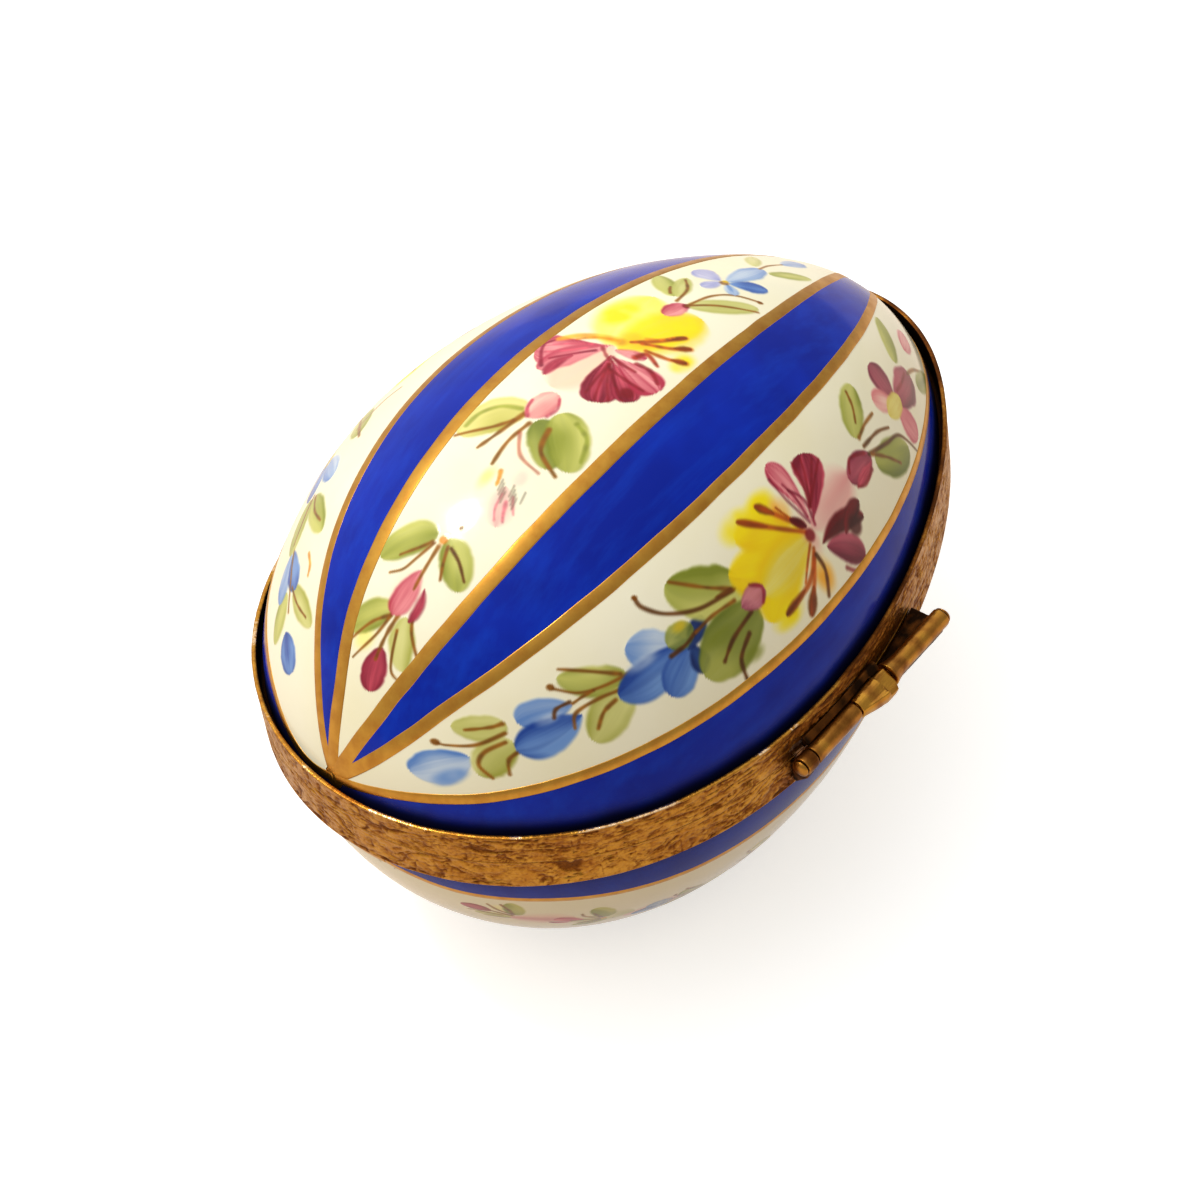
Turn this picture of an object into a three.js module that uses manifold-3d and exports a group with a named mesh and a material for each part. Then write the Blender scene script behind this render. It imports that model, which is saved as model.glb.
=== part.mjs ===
// A porcelain egg box that lies on its side: two painted porcelain half shells, each held in a
// brass rim, joined by a tube hinge at the back and closed by a small clasp at the front.
// Millimetres. +X along the egg towards its blunt end, +Y towards the hinge, +Z up. The origin
// is on the flat foot, below the middle of the egg's length.

import * as THREE from "three";
import { mergeVertices } from "three/addons/utils/BufferGeometryUtils.js";
import Module from "manifold-3d";

// The egg's outer surface, measured from its own long axis
const EGG_LENGTH = 63.8;
const EGG_WIDTH = 45;
const LID_RISE = 23.4;
const BASE_DROP = 22.9;
const FOOT_DROP = 20.6;
const BLUNTNESS = 0.19;

// The porcelain
const LID_WALL = 2.2;
const BASE_WALL = 2.4;
const FLOOR_WALL = 2.8;

// The brass rims, channels that hold the porcelain's edges
const SEAM_LIFT = 0.9;
const SEAM_GAP = 0.1;
const RIM_HEIGHT = 2.7;
const RIM_WALL = 0.4;
const GROOVE_WIDTH = 0.75;
const RIM_FLANGE = 0.6;
const RIM_EDGE_ROUND = 0.1;
const LIP_WALL = 0.5;
const LIP_HEIGHT = 1.7;
const LIP_LEAN = 0.3;
const BED_GAP = 0.35;

// The hinge, tubes on one pin, seated in bearers on the rims
const TUBE_RADIUS = 0.8;
const TUBE_BORE = 0.5;
const TUBE_FLARE = 0.28;
const FLARE_LENGTH = 1.7;
const PIN_RADIUS = 0.42;
const PIN_HEAD_RADIUS = 0.74;
const PIN_HEAD_LENGTH = 0.42;
const HINGE_BACK = 7.5;
const LONG_TUBE_LENGTH = 7.2;
const COLLAR_LENGTH = 4;
const LID_TUBE_LENGTH = 5.4;
const SHORT_TUBE_LENGTH = 1.2;
const KNUCKLE_GAP = 0.12;
const HINGE_STANDOFF = 0.12;
const SEAT_GAP = 0.08;
const CUT_PAST = 1;
const BEARER_INSET = 0.15;
const LID_BEARER_LIFT = 0.35;
const LID_BEARER_HEIGHT = 1.35;
const LID_BEARER_REACH = 0.4;
const BASE_BEARER_LIFT = 0.2;
const BASE_BEARER_DEPTH = 2.2;
const BASE_BEARER_REACH = 0.25;

// The stop collar, notched next to the long tube and lipped beyond the notch. Its heel meets
// the lower rim when the lid is fully open, and falls away towards the lid's tube.
const COLLAR_RADIUS = 0.86;
const COLLAR_LIP = 0.12;
const NOTCH_LENGTH = 1.3;
const NOTCH_DEPTH = 0.22;
const NOTCH_TURN = 58;
const HEEL_RADIUS = 1.45;
const HEEL_RISE = 0.35;
const HEEL_CREST = 1.25;
const HEEL_SPREAD = 54;
const HEEL_SLOPE = 16;
const OPEN_ANGLE = 97;
const STOP_GAP = 0.1;

// The clasp, a sprung tongue on the lid rim over a bead on the base rim
const CLASP_X = 1.5;
const TONGUE_WIDTH = 5.6;
const TONGUE_TIP_WIDTH = 2.8;
const TONGUE_WALL = 0.8;
const TONGUE_BULGE = 0.35;
const TONGUE_RISE = 2.4;
const TONGUE_DROP = 2.3;
const THUMB_OUT = 1;
const THUMB_DROP = 0.9;
const TONGUE_GAP = 0.12;
const BEAD_RADIUS = 0.65;
const BEAD_OUT = 0.45;
const BEAD_DROP = 1.4;
const BEAD_CLEAR = 0.15;

// How finely round forms are divided
const STEPS_ALONG = 34;
const STEPS_AROUND = 56;
const RIM_STEPS = 84;
const TUBE_SIDES = 20;
const ARC_STEPS = 6;

// Places worked out from the sizes above
const SEAM_Z = FOOT_DROP + SEAM_LIFT;
const HALF_LENGTH = EGG_LENGTH / 2;
const WIDEST_COS = (Math.sqrt(1 + 8 * BLUNTNESS ** 2) - 1) / (4 * BLUNTNESS);
const WIDEST_SHARE = Math.sqrt(1 - WIDEST_COS ** 2) * (1 + BLUNTNESS * WIDEST_COS);
const RIM_PROUD = GROOVE_WIDTH + RIM_WALL;
const EDGE_LIFT = SEAM_GAP / 2 + RIM_FLANGE + BED_GAP;
const HINGE_Y = EGG_WIDTH / 2 + RIM_PROUD + HINGE_STANDOFF + TUBE_RADIUS;
const HINGE_START = -HINGE_BACK;
const LONG_TUBE_END = HINGE_START + LONG_TUBE_LENGTH;
const COLLAR_START = LONG_TUBE_END + KNUCKLE_GAP;
const COLLAR_END = COLLAR_START + COLLAR_LENGTH;
const LID_TUBE_START = COLLAR_END + KNUCKLE_GAP;
const LID_TUBE_END = LID_TUBE_START + LID_TUBE_LENGTH;
const SHORT_TUBE_START = LID_TUBE_END + KNUCKLE_GAP;
const SHORT_TUBE_END = SHORT_TUBE_START + SHORT_TUBE_LENGTH;

const wasm = await Module();
wasm.setup();

// The egg's half width at a place along its length
function halfWidthAt(x) {
  const share = x / HALF_LENGTH;
  return (EGG_WIDTH / 2 / WIDEST_SHARE) * Math.sqrt(1 - share ** 2) * (1 + BLUNTNESS * share);
}

// A point of the egg's outline in plan, moved outwards along its normal
function outlinePoint(turn, offset) {
  const width = EGG_WIDTH / 2 / WIDEST_SHARE;
  const x = HALF_LENGTH * Math.cos(turn);
  const y = width * Math.sin(turn) * (1 + BLUNTNESS * Math.cos(turn));
  const alongX = -HALF_LENGTH * Math.sin(turn);
  const alongY = width * (Math.cos(turn) + BLUNTNESS * Math.cos(2 * turn));
  const size = Math.hypot(alongX, alongY);
  return new THREE.Vector2(x + (offset * alongY) / size, y - (offset * alongX) / size);
}

// A solid for joining and cutting, from a closed geometry
function solidOf(geometry) {
  const bare = geometry.clone();
  bare.deleteAttribute("normal");
  bare.deleteAttribute("uv");
  const merged = mergeVertices(bare);
  const corners = merged.getIndex().array;
  const triangles = [];
  for (let i = 0; i < corners.length; i += 3) {
    const [a, b, c] = corners.slice(i, i + 3);
    if (a !== b && b !== c && c !== a) {
      triangles.push(a, b, c);
    }
  }
  return new wasm.Manifold(new wasm.Mesh({
    numProp: 3,
    vertProperties: new Float32Array(merged.getAttribute("position").array),
    triVerts: new Uint32Array(triangles),
  }));
}

function geometryOf(solid) {
  const mesh = solid.getMesh();
  const geometry = new THREE.BufferGeometry();
  geometry.setAttribute("position", new THREE.BufferAttribute(new Float32Array(mesh.vertProperties), 3));
  geometry.setIndex(new THREE.BufferAttribute(new Uint32Array(mesh.triVerts), 1));
  const faceted = geometry.toNonIndexed();
  faceted.computeVertexNormals();
  return faceted;
}

// Everything between two heights, as wide as any piece here needs
function slab(lowZ, highZ) {
  const geometry = new THREE.BoxGeometry(2 * EGG_LENGTH, 2 * EGG_LENGTH, highZ - lowZ);
  geometry.translate(0, 0, (lowZ + highZ) / 2);
  return solidOf(geometry);
}

// A whole egg with its surface moved inwards by a wall
function egg(wall, rise) {
  const profile = [];
  const width = (EGG_WIDTH / 2 - wall) / WIDEST_SHARE;
  for (let i = 0; i <= STEPS_ALONG; i += 1) {
    const turn = Math.PI * (1 - i / STEPS_ALONG);
    const radius = width * Math.sin(turn) * (1 + BLUNTNESS * Math.cos(turn));
    const onAxis = i === 0 || i === STEPS_ALONG;
    profile.push(new THREE.Vector2(onAxis ? 0 : radius, (HALF_LENGTH - wall) * Math.cos(turn)));
  }
  const geometry = new THREE.LatheGeometry(profile, STEPS_AROUND);
  geometry.rotateZ(-Math.PI / 2);
  geometry.scale(1, 1, (rise - wall) / (EGG_WIDTH / 2 - wall));
  geometry.translate(0, 0, FOOT_DROP);
  return solidOf(geometry);
}

function lidShell() {
  const top = FOOT_DROP + LID_RISE + LID_WALL;
  const outside = egg(0, LID_RISE).intersect(slab(SEAM_Z + EDGE_LIFT, top));
  return outside.subtract(egg(LID_WALL, LID_RISE));
}

// The base is cut flat underneath for its foot, and its floor inside is flat too
function baseShell() {
  const outside = egg(0, BASE_DROP).intersect(slab(0, SEAM_Z - EDGE_LIFT));
  const inside = egg(BASE_WALL, BASE_DROP).intersect(slab(FLOOR_WALL, FOOT_DROP + BASE_DROP));
  return outside.subtract(inside);
}

// A ring that follows the egg's outline, from a closed section of [offset, height] points
function ringAlongOutline(section) {
  const positions = [];
  const corners = [];
  const count = section.length;
  for (let i = 0; i < RIM_STEPS; i += 1) {
    const next = (i + 1) % RIM_STEPS;
    section.forEach(([offset, height], j) => {
      const point = outlinePoint((2 * Math.PI * i) / RIM_STEPS, offset);
      const after = (j + 1) % count;
      positions.push(point.x, point.y, height);
      corners.push(i * count + j, next * count + j, next * count + after);
      corners.push(i * count + j, next * count + after, i * count + after);
    });
  }
  const geometry = new THREE.BufferGeometry();
  geometry.setAttribute("position", new THREE.Float32BufferAttribute(positions, 3));
  geometry.setIndex(corners);
  return solidOf(geometry);
}

// A rim: thin outer wall standing off the glaze, flange under the porcelain's edge and inner lip.
// Side is 1 for the lid's rim, which stands up from the seam, and -1 for the base's, below it.
function rim(wall, side) {
  const lipOuter = -wall - BED_GAP;
  const lipTop = RIM_FLANGE + LIP_HEIGHT;
  const section = [
    [RIM_PROUD - RIM_EDGE_ROUND, 0],
    [RIM_PROUD, RIM_EDGE_ROUND],
    [RIM_PROUD, RIM_HEIGHT - RIM_EDGE_ROUND],
    [RIM_PROUD - RIM_EDGE_ROUND, RIM_HEIGHT],
    [GROOVE_WIDTH + RIM_EDGE_ROUND, RIM_HEIGHT],
    [GROOVE_WIDTH, RIM_HEIGHT - RIM_EDGE_ROUND],
    [GROOVE_WIDTH, RIM_FLANGE],
    [lipOuter, RIM_FLANGE],
    [lipOuter - LIP_LEAN, lipTop],
    [lipOuter - LIP_LEAN - LIP_WALL, lipTop],
    [lipOuter - LIP_WALL, 0],
  ];
  const placed = section.map(([offset, height]) => [offset, SEAM_Z + side * (SEAM_GAP / 2 + height)]);
  return ringAlongOutline(side > 0 ? placed : placed.reverse());
}

// Everything inside the rims' outer face moved out by a gap, for seating pieces against it
function insideRims(gap) {
  const points = [];
  for (let i = 0; i < RIM_STEPS; i += 1) {
    points.push(outlinePoint((2 * Math.PI * i) / RIM_STEPS, RIM_PROUD + gap));
  }
  const options = { depth: FOOT_DROP + LID_RISE, bevelEnabled: false };
  return solidOf(new THREE.ExtrudeGeometry(new THREE.Shape(points), options));
}

// A form turned about the hinge's axis, from a profile of [radius, x] points
function turnedOnHinge(profile) {
  const points = profile.map(([radius, x]) => new THREE.Vector2(radius, x));
  const geometry = new THREE.LatheGeometry(points, TUBE_SIDES);
  geometry.rotateZ(-Math.PI / 2);
  geometry.translate(0, HINGE_Y, SEAM_Z);
  return solidOf(geometry);
}

function hingeRod(radius, startX, endX) {
  return turnedOnHinge([[0, startX], [radius, startX], [radius, endX], [0, endX]]);
}

// The outside of a knuckle, as profile points; the end next to the collar may be flared
function tubeOutside(startX, endX, flared, gap) {
  const radius = TUBE_RADIUS + gap;
  const points = [[radius, startX]];
  for (let i = 0; flared && i < ARC_STEPS; i += 1) {
    const share = i / ARC_STEPS;
    points.push([radius + TUBE_FLARE * share ** 2, endX - FLARE_LENGTH * (1 - share)]);
  }
  points.push([flared ? radius + TUBE_FLARE : radius, endX]);
  return points;
}

function hingeTube(startX, endX, flared) {
  const outside = tubeOutside(startX, endX, flared, 0);
  return turnedOnHinge([[TUBE_BORE, startX], ...outside, [TUBE_BORE, endX], [TUBE_BORE, startX]]);
}

// The domed head of the pin, as profile points from its tip outwards
function pinHead(faceX, side) {
  const points = [];
  for (let i = 0; i <= ARC_STEPS; i += 1) {
    const turn = (Math.PI / 2) * (i / ARC_STEPS);
    const tip = PIN_HEAD_LENGTH * Math.cos(turn);
    points.push([i === 0 ? 0 : PIN_HEAD_RADIUS * Math.sin(turn), faceX + side * tip]);
  }
  return points;
}

function hingePin() {
  const startX = HINGE_START - SEAT_GAP;
  const endX = SHORT_TUBE_END + SEAT_GAP;
  const stem = [[PIN_RADIUS, startX], [PIN_RADIUS, endX]];
  return turnedOnHinge([...pinHead(startX, -1), ...stem, ...pinHead(endX, 1).reverse()]);
}

// A section in the plane across the hinge, drawn as [y, z], made solid along X
function alongX(shape, startX, length) {
  const options = { depth: length, bevelEnabled: false, curveSegments: 2 * ARC_STEPS };
  const geometry = new THREE.ExtrudeGeometry(shape, options);
  const across = new THREE.Vector3(0, 1, 0);
  const up = new THREE.Vector3(0, 0, 1);
  const along = new THREE.Vector3(1, 0, 0);
  geometry.applyMatrix4(new THREE.Matrix4().makeBasis(across, up, along));
  geometry.translate(startX, 0, 0);
  return solidOf(geometry);
}

function shapeOf(points) {
  return new THREE.Shape(points.map(([a, b]) => new THREE.Vector2(a, b)));
}

// The same for a section drawn from the hinge's axis as [outwards, up]
function besideHinge(points, startX, endX) {
  const placed = points.map(([out, up]) => [HINGE_Y + out, SEAM_Z + up]);
  return alongX(shapeOf(placed), startX, endX - startX);
}

// The collar's sleeve, as profile points: a lip beyond the notch, drawn in to its far end
function collarOutside(gap) {
  const radius = COLLAR_RADIUS + gap;
  const lipX = COLLAR_START + NOTCH_LENGTH;
  return [
    [radius, COLLAR_START],
    [radius, lipX - COLLAR_LIP],
    [radius + COLLAR_LIP, lipX],
    [radius, COLLAR_END],
  ];
}

// The heel's outline along the hinge: a short rise, a crest, and a long fall
function heelOutside() {
  return turnedOnHinge([
    [0, COLLAR_START],
    [COLLAR_RADIUS, COLLAR_START],
    [HEEL_RADIUS, COLLAR_START + HEEL_RISE],
    [HEEL_RADIUS, COLLAR_START + HEEL_RISE + HEEL_CREST],
    [COLLAR_RADIUS, COLLAR_END],
    [0, COLLAR_END],
  ]);
}

// What the notch takes away: everything past a flat beside the bore
function collarNotch() {
  const turn = THREE.MathUtils.degToRad(NOTCH_TURN);
  const flat = COLLAR_RADIUS - NOTCH_DEPTH;
  const wide = HEEL_RADIUS;
  const corners = [[flat, -wide], [flat + wide, -wide], [flat + wide, wide], [flat, wide]];
  const turned = corners.map(([out, side]) => [
    out * Math.cos(turn) - side * Math.sin(turn),
    out * Math.sin(turn) + side * Math.cos(turn),
  ]);
  return besideHinge(turned, COLLAR_START - KNUCKLE_GAP / 2, COLLAR_START + NOTCH_LENGTH);
}

// The collar's heel is turned back from where it meets the rim by the angle that the lid opens
function stopCollar() {
  const crestEnd = COLLAR_START + HEEL_RISE + HEEL_CREST;
  const rimFace = halfWidthAt(crestEnd) + RIM_PROUD;
  const meets = Math.PI + Math.acos((HINGE_Y - rimFace - STOP_GAP) / HEEL_RADIUS);
  const start = meets + THREE.MathUtils.degToRad(OPEN_ANGLE);
  const end = start + THREE.MathUtils.degToRad(HEEL_SPREAD);
  const slope = THREE.MathUtils.degToRad(HEEL_SLOPE);
  const section = new THREE.Shape();
  section.absarc(HINGE_Y, SEAM_Z, HEEL_RADIUS, start, end, false);
  section.absarc(HINGE_Y, SEAM_Z, (TUBE_BORE + COLLAR_RADIUS) / 2, end + slope, start - slope / 2, true);
  section.closePath();
  const heel = alongX(section, COLLAR_START, COLLAR_LENGTH).intersect(heelOutside());
  const inside = [[0, COLLAR_START], ...collarOutside(0), [0, COLLAR_END]];
  const bore = hingeRod(TUBE_BORE, COLLAR_START - KNUCKLE_GAP, COLLAR_END + KNUCKLE_GAP);
  return turnedOnHinge(inside).add(heel).subtract(collarNotch()).subtract(bore);
}

// The lid's bearer fills the corner between the upper rim, the collar and the lid's tube
function lidBearer() {
  const startX = COLLAR_START + BEARER_INSET;
  const endX = LID_TUBE_END - BEARER_INSET;
  const inward = -RIM_PROUD - 2 * TUBE_RADIUS;
  const block = besideHinge([
    [inward, LID_BEARER_LIFT],
    [-LID_BEARER_REACH, LID_BEARER_LIFT],
    [-LID_BEARER_REACH, TUBE_RADIUS + SEAT_GAP],
    [-TUBE_RADIUS, LID_BEARER_HEIGHT],
    [inward, LID_BEARER_HEIGHT],
  ], startX, endX);
  const tubeSeat = hingeRod(TUBE_RADIUS + SEAT_GAP, startX - CUT_PAST, endX + CUT_PAST);
  const collarSeat = turnedOnHinge([[0, COLLAR_START], ...collarOutside(SEAT_GAP), [0, COLLAR_END]]);
  return block.subtract(insideRims(SEAT_GAP)).subtract(tubeSeat).subtract(collarSeat);
}

// A base bearer runs from the lower rim's face out under its tube
function baseBearer(startX, endX, flared) {
  const inward = -(HINGE_Y - halfWidthAt(startX)) - RIM_WALL;
  const block = besideHinge([
    [inward, -BASE_BEARER_LIFT],
    [inward, -BASE_BEARER_DEPTH],
    [-TUBE_RADIUS, -BASE_BEARER_DEPTH],
    [BASE_BEARER_REACH, -TUBE_RADIUS - 2 * BASE_BEARER_REACH],
    [BASE_BEARER_REACH, -TUBE_RADIUS],
    [-BASE_BEARER_REACH, -BASE_BEARER_LIFT],
  ], startX + BEARER_INSET, endX - BEARER_INSET);
  const seat = turnedOnHinge([[0, startX], ...tubeOutside(startX, endX, flared, SEAT_GAP), [0, endX]]);
  return block.subtract(insideRims(SEAT_GAP)).subtract(seat);
}

// A front view drawn as [x, z], made solid from a face outwards, away from the hinge
function outwards(shape, faceY, depth) {
  const options = { depth, bevelEnabled: false, curveSegments: ARC_STEPS };
  const geometry = new THREE.ExtrudeGeometry(shape, options);
  const across = new THREE.Vector3(1, 0, 0);
  const up = new THREE.Vector3(0, 0, 1);
  const out = new THREE.Vector3(0, -1, 0);
  geometry.applyMatrix4(new THREE.Matrix4().makeBasis(across, up, out));
  geometry.translate(0, faceY, 0);
  return solidOf(geometry);
}

// The front of the rims where the clasp sits
const CLASP_FACE_Y = -halfWidthAt(CLASP_X) - RIM_PROUD;

// The tongue's front view: straight sides under a round top, drawn in to a round thumb tip
function tongueFront() {
  const left = CLASP_X - TONGUE_WIDTH / 2;
  const right = CLASP_X + TONGUE_WIDTH / 2;
  const tipLeft = CLASP_X - TONGUE_TIP_WIDTH / 2;
  const tipRight = CLASP_X + TONGUE_TIP_WIDTH / 2;
  const top = SEAM_Z + TONGUE_RISE;
  const shoulder = top - TONGUE_WIDTH / 4;
  const drawIn = SEAM_Z - TONGUE_TIP_WIDTH / 2;
  const tip = SEAM_Z - TONGUE_DROP - THUMB_DROP;
  const tipTop = tip + TONGUE_TIP_WIDTH / 4;
  const shape = new THREE.Shape();
  shape.moveTo(right, shoulder);
  shape.quadraticCurveTo(right, top, CLASP_X, top);
  shape.quadraticCurveTo(left, top, left, shoulder);
  shape.bezierCurveTo(left, drawIn, tipLeft, drawIn, tipLeft, tipTop);
  shape.quadraticCurveTo(tipLeft, tip, CLASP_X, tip);
  shape.quadraticCurveTo(tipRight, tip, tipRight, tipTop);
  shape.bezierCurveTo(tipRight, drawIn, right, drawIn, right, shoulder);
  return shape;
}

// The tongue's side view: a plate that swells over the bead and turns out into a thumb lip
function tongueSide() {
  const faceY = CLASP_FACE_Y;
  const top = SEAM_Z + TONGUE_RISE;
  const low = SEAM_Z - TONGUE_DROP;
  const tip = low - THUMB_DROP;
  const back = faceY - TONGUE_GAP;
  const belly = back - TONGUE_WALL - TONGUE_BULGE;
  const lipY = back - TONGUE_WALL - THUMB_OUT;
  const lipTop = tip + TONGUE_WALL / 2;
  const shape = new THREE.Shape();
  shape.moveTo(faceY + RIM_WALL, top);
  shape.lineTo(faceY + RIM_WALL, low);
  shape.lineTo(back, low);
  shape.quadraticCurveTo(back, tip, lipY, tip);
  shape.lineTo(lipY, lipTop);
  shape.quadraticCurveTo(belly, lipTop, belly, low + TONGUE_WALL);
  shape.quadraticCurveTo(belly, top - TONGUE_WALL, back - TONGUE_WALL / 2, top);
  return shape;
}

// The groove lets the bead pass as the tongue lifts
function beadGroove() {
  const half = BEAD_RADIUS + BEAD_CLEAR;
  const beadZ = SEAM_Z - BEAD_DROP;
  const shape = new THREE.Shape();
  shape.moveTo(CLASP_X - half, beadZ - TONGUE_DROP - THUMB_DROP);
  shape.lineTo(CLASP_X + half, beadZ - TONGUE_DROP - THUMB_DROP);
  shape.lineTo(CLASP_X + half, beadZ);
  shape.absarc(CLASP_X, beadZ, half, 0, Math.PI, false);
  return outwards(shape, CLASP_FACE_Y + RIM_WALL, RIM_WALL + SEAT_GAP + BEAD_OUT + BEAD_CLEAR);
}

function claspTongue() {
  const width = 2 * TONGUE_WIDTH;
  const plate = alongX(tongueSide(), CLASP_X - width / 2, width);
  const reach = RIM_WALL + TONGUE_GAP + TONGUE_WALL + THUMB_OUT;
  const front = outwards(tongueFront(), CLASP_FACE_Y + RIM_WALL, reach);
  return plate.intersect(front).subtract(insideRims(TONGUE_GAP)).subtract(beadGroove());
}

// A low dome on the base rim's face
function catchBead() {
  const profile = [new THREE.Vector2(0, 0)];
  for (let i = 0; i <= ARC_STEPS; i += 1) {
    const turn = (Math.PI / 2) * (i / ARC_STEPS);
    const radius = i === ARC_STEPS ? 0 : BEAD_RADIUS * Math.cos(turn);
    profile.push(new THREE.Vector2(radius, BEAD_OUT * Math.sin(turn)));
  }
  const geometry = new THREE.LatheGeometry(profile, TUBE_SIDES);
  geometry.rotateX(Math.PI);
  geometry.translate(CLASP_X, CLASP_FACE_Y - SEAT_GAP, SEAM_Z - BEAD_DROP);
  return solidOf(geometry);
}

const PORCELAIN = { color: 0xf2ecdd, roughness: 0.12, metalness: 0 };
const RIM_BRASS = { color: 0xb9862f, roughness: 0.42, metalness: 1 };
const HINGE_BRASS = { color: 0x8f6424, roughness: 0.38, metalness: 1 };

const eggBox = new THREE.Group();

function addPiece(name, solid, finish) {
  const mesh = new THREE.Mesh(geometryOf(solid), new THREE.MeshStandardMaterial(finish));
  mesh.name = name;
  eggBox.add(mesh);
}

addPiece("lid_shell", lidShell(), PORCELAIN);
addPiece("base_shell", baseShell(), PORCELAIN);
addPiece("lid_rim", rim(LID_WALL, 1), RIM_BRASS);
addPiece("base_rim", rim(BASE_WALL, -1), RIM_BRASS);
addPiece("base_hinge_tube_long", hingeTube(HINGE_START, LONG_TUBE_END, true), HINGE_BRASS);
addPiece("base_hinge_tube_short", hingeTube(SHORT_TUBE_START, SHORT_TUBE_END, false), HINGE_BRASS);
addPiece("lid_hinge_tube", hingeTube(LID_TUBE_START, LID_TUBE_END, false), HINGE_BRASS);
addPiece("lid_stop_collar", stopCollar(), HINGE_BRASS);
addPiece("lid_hinge_bearer", lidBearer(), HINGE_BRASS);
addPiece("base_bearer_long", baseBearer(HINGE_START, LONG_TUBE_END, true), HINGE_BRASS);
addPiece("base_bearer_short", baseBearer(SHORT_TUBE_START, SHORT_TUBE_END, false), HINGE_BRASS);
addPiece("hinge_pin", hingePin(), HINGE_BRASS);
addPiece("clasp_tongue", claspTongue(), RIM_BRASS);
addPiece("catch_bead", catchBead(), RIM_BRASS);

export default eggBox;
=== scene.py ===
# The looks of a porcelain egg box that lies on its side: glazed and painted porcelain halves,
# chiselled brass rims, an aged brass hinge with a stop collar, and a clasp at the front.
# Lengths are millimetres until a mesh is made. +X runs along the egg to its blunt end,
# +Y to the hinge, +Z up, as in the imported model.

import math
from collections import namedtuple

import bpy
import numpy as np
from mathutils import Matrix, Vector


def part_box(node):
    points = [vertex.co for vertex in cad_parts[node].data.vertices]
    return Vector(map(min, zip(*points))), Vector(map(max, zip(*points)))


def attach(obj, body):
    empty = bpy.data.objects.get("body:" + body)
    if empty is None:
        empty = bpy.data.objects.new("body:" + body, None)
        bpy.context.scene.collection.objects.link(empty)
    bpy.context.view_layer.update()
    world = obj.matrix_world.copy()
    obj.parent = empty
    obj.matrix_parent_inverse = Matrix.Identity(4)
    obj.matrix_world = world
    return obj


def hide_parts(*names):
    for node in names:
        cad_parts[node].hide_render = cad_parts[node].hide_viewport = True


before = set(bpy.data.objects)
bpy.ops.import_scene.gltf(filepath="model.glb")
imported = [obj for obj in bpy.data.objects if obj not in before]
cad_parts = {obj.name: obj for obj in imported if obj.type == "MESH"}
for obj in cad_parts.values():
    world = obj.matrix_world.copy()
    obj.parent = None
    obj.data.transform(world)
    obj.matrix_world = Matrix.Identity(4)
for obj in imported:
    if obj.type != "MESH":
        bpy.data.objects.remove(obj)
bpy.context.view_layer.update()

MM = 0.001

# The egg, measured from its own long axis
HALF_LENGTH = 31.9
HALF_WIDTH = 22.5
BLUNTNESS = 0.19
FOOT_DROP = 20.6
LID_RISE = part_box("lid_shell")[1].z / MM - FOOT_DROP
BASE_DROP = 22.9
RISE = {"lid": LID_RISE, "base": BASE_DROP}
WALL = {"lid": 2.2, "base": 2.4}
FLOOR_WALL = 2.8
FOOT_ROUND = 0.35
WIDEST_COS = (math.sqrt(1 + 8 * BLUNTNESS ** 2) - 1) / (4 * BLUNTNESS)
WIDEST_SHARE = math.sqrt(1 - WIDEST_COS ** 2) * (1 + BLUNTNESS * WIDEST_COS)
FULL_WIDTH = HALF_WIDTH / WIDEST_SHARE
EDGE_Z = {"lid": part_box("lid_shell")[0].z / MM, "base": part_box("base_shell")[1].z / MM}
FROM_SEAM = {"lid": 1, "base": -1}

# The lid's porcelain is drawn a little fuller than packed: low down all round, and higher up on
# the side that lies this way, given as (x, y)
FAR_SIDE = (-0.71, 0.7)
SWELL_LOW = 0.5
SWELL_FAR = 0.6
SWELL_RANGE = (8.0, 26.0)
SWELL_HEIGHTS = (24.5, 33.0)

# The rims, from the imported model: an outer wall, a flange under the porcelain and an inner lip
LID_RIM_Z = (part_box("lid_rim")[0].z / MM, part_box("lid_rim")[1].z / MM)
RIM_HEIGHT = LID_RIM_Z[1] - LID_RIM_Z[0]
SEAM_Z = (LID_RIM_Z[0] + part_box("base_rim")[1].z / MM) / 2
RIM_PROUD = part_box("lid_rim")[1].x / MM - HALF_LENGTH
RIM_WALL = 0.4
RIM_FLANGE = 0.6
LIP_WALL = 0.5
LIP_HEIGHT = 1.7
LIP_LEAN = 0.3
BED_GAP = 0.35
SEAM_GAP = 0.04
SEAM_ROUND = 0.03
FACE_ROUND = 0.1

# The marks and stains of the rims, a darkening of the face near the hinge, the painted highlight along
# the top edge, and painted shade on that edge's far side and down in the groove
CHISEL_DEPTH = 0.13
CHISEL_SEED = {"lid": 43, "base": 71}
FACE_SWELL = 0.06
FACE_CALM = 0.3
EDGE_WOBBLE = 0.07
EDGE_STAIN = 1.1
# How much the rubbed top edge is lightened, as a painted highlight
EDGE_PAINTED_HIGHLIGHT = 0.6
# How much the top edge is darkened on the far side, away from the light, as painted shade
EDGE_PAINTED_SHADE = 0.9
EDGE_PAINTED_SHADE_RANGE = (8.0, 16.0)
UNDER_EDGE_STAIN = 0.35
UNDER_EDGE_DROP = 0.3
UNDER_EDGE_WIDTH = 0.12
# How much darker the rim's face is drawn near the hinge, and where
NEAR_HINGE_DARKENING = 0.4
NEAR_HINGE_Y = (19.5, 23.0)
NEAR_HINGE_START_X = (-11.0, -8.0)
NEAR_HINGE_END_X = (10.5, 13.0)
INSIDE_WEAR = 0.05
# How dark the groove is drawn, as painted shade
GROOVE_PAINTED_SHADE = 1.75
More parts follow.
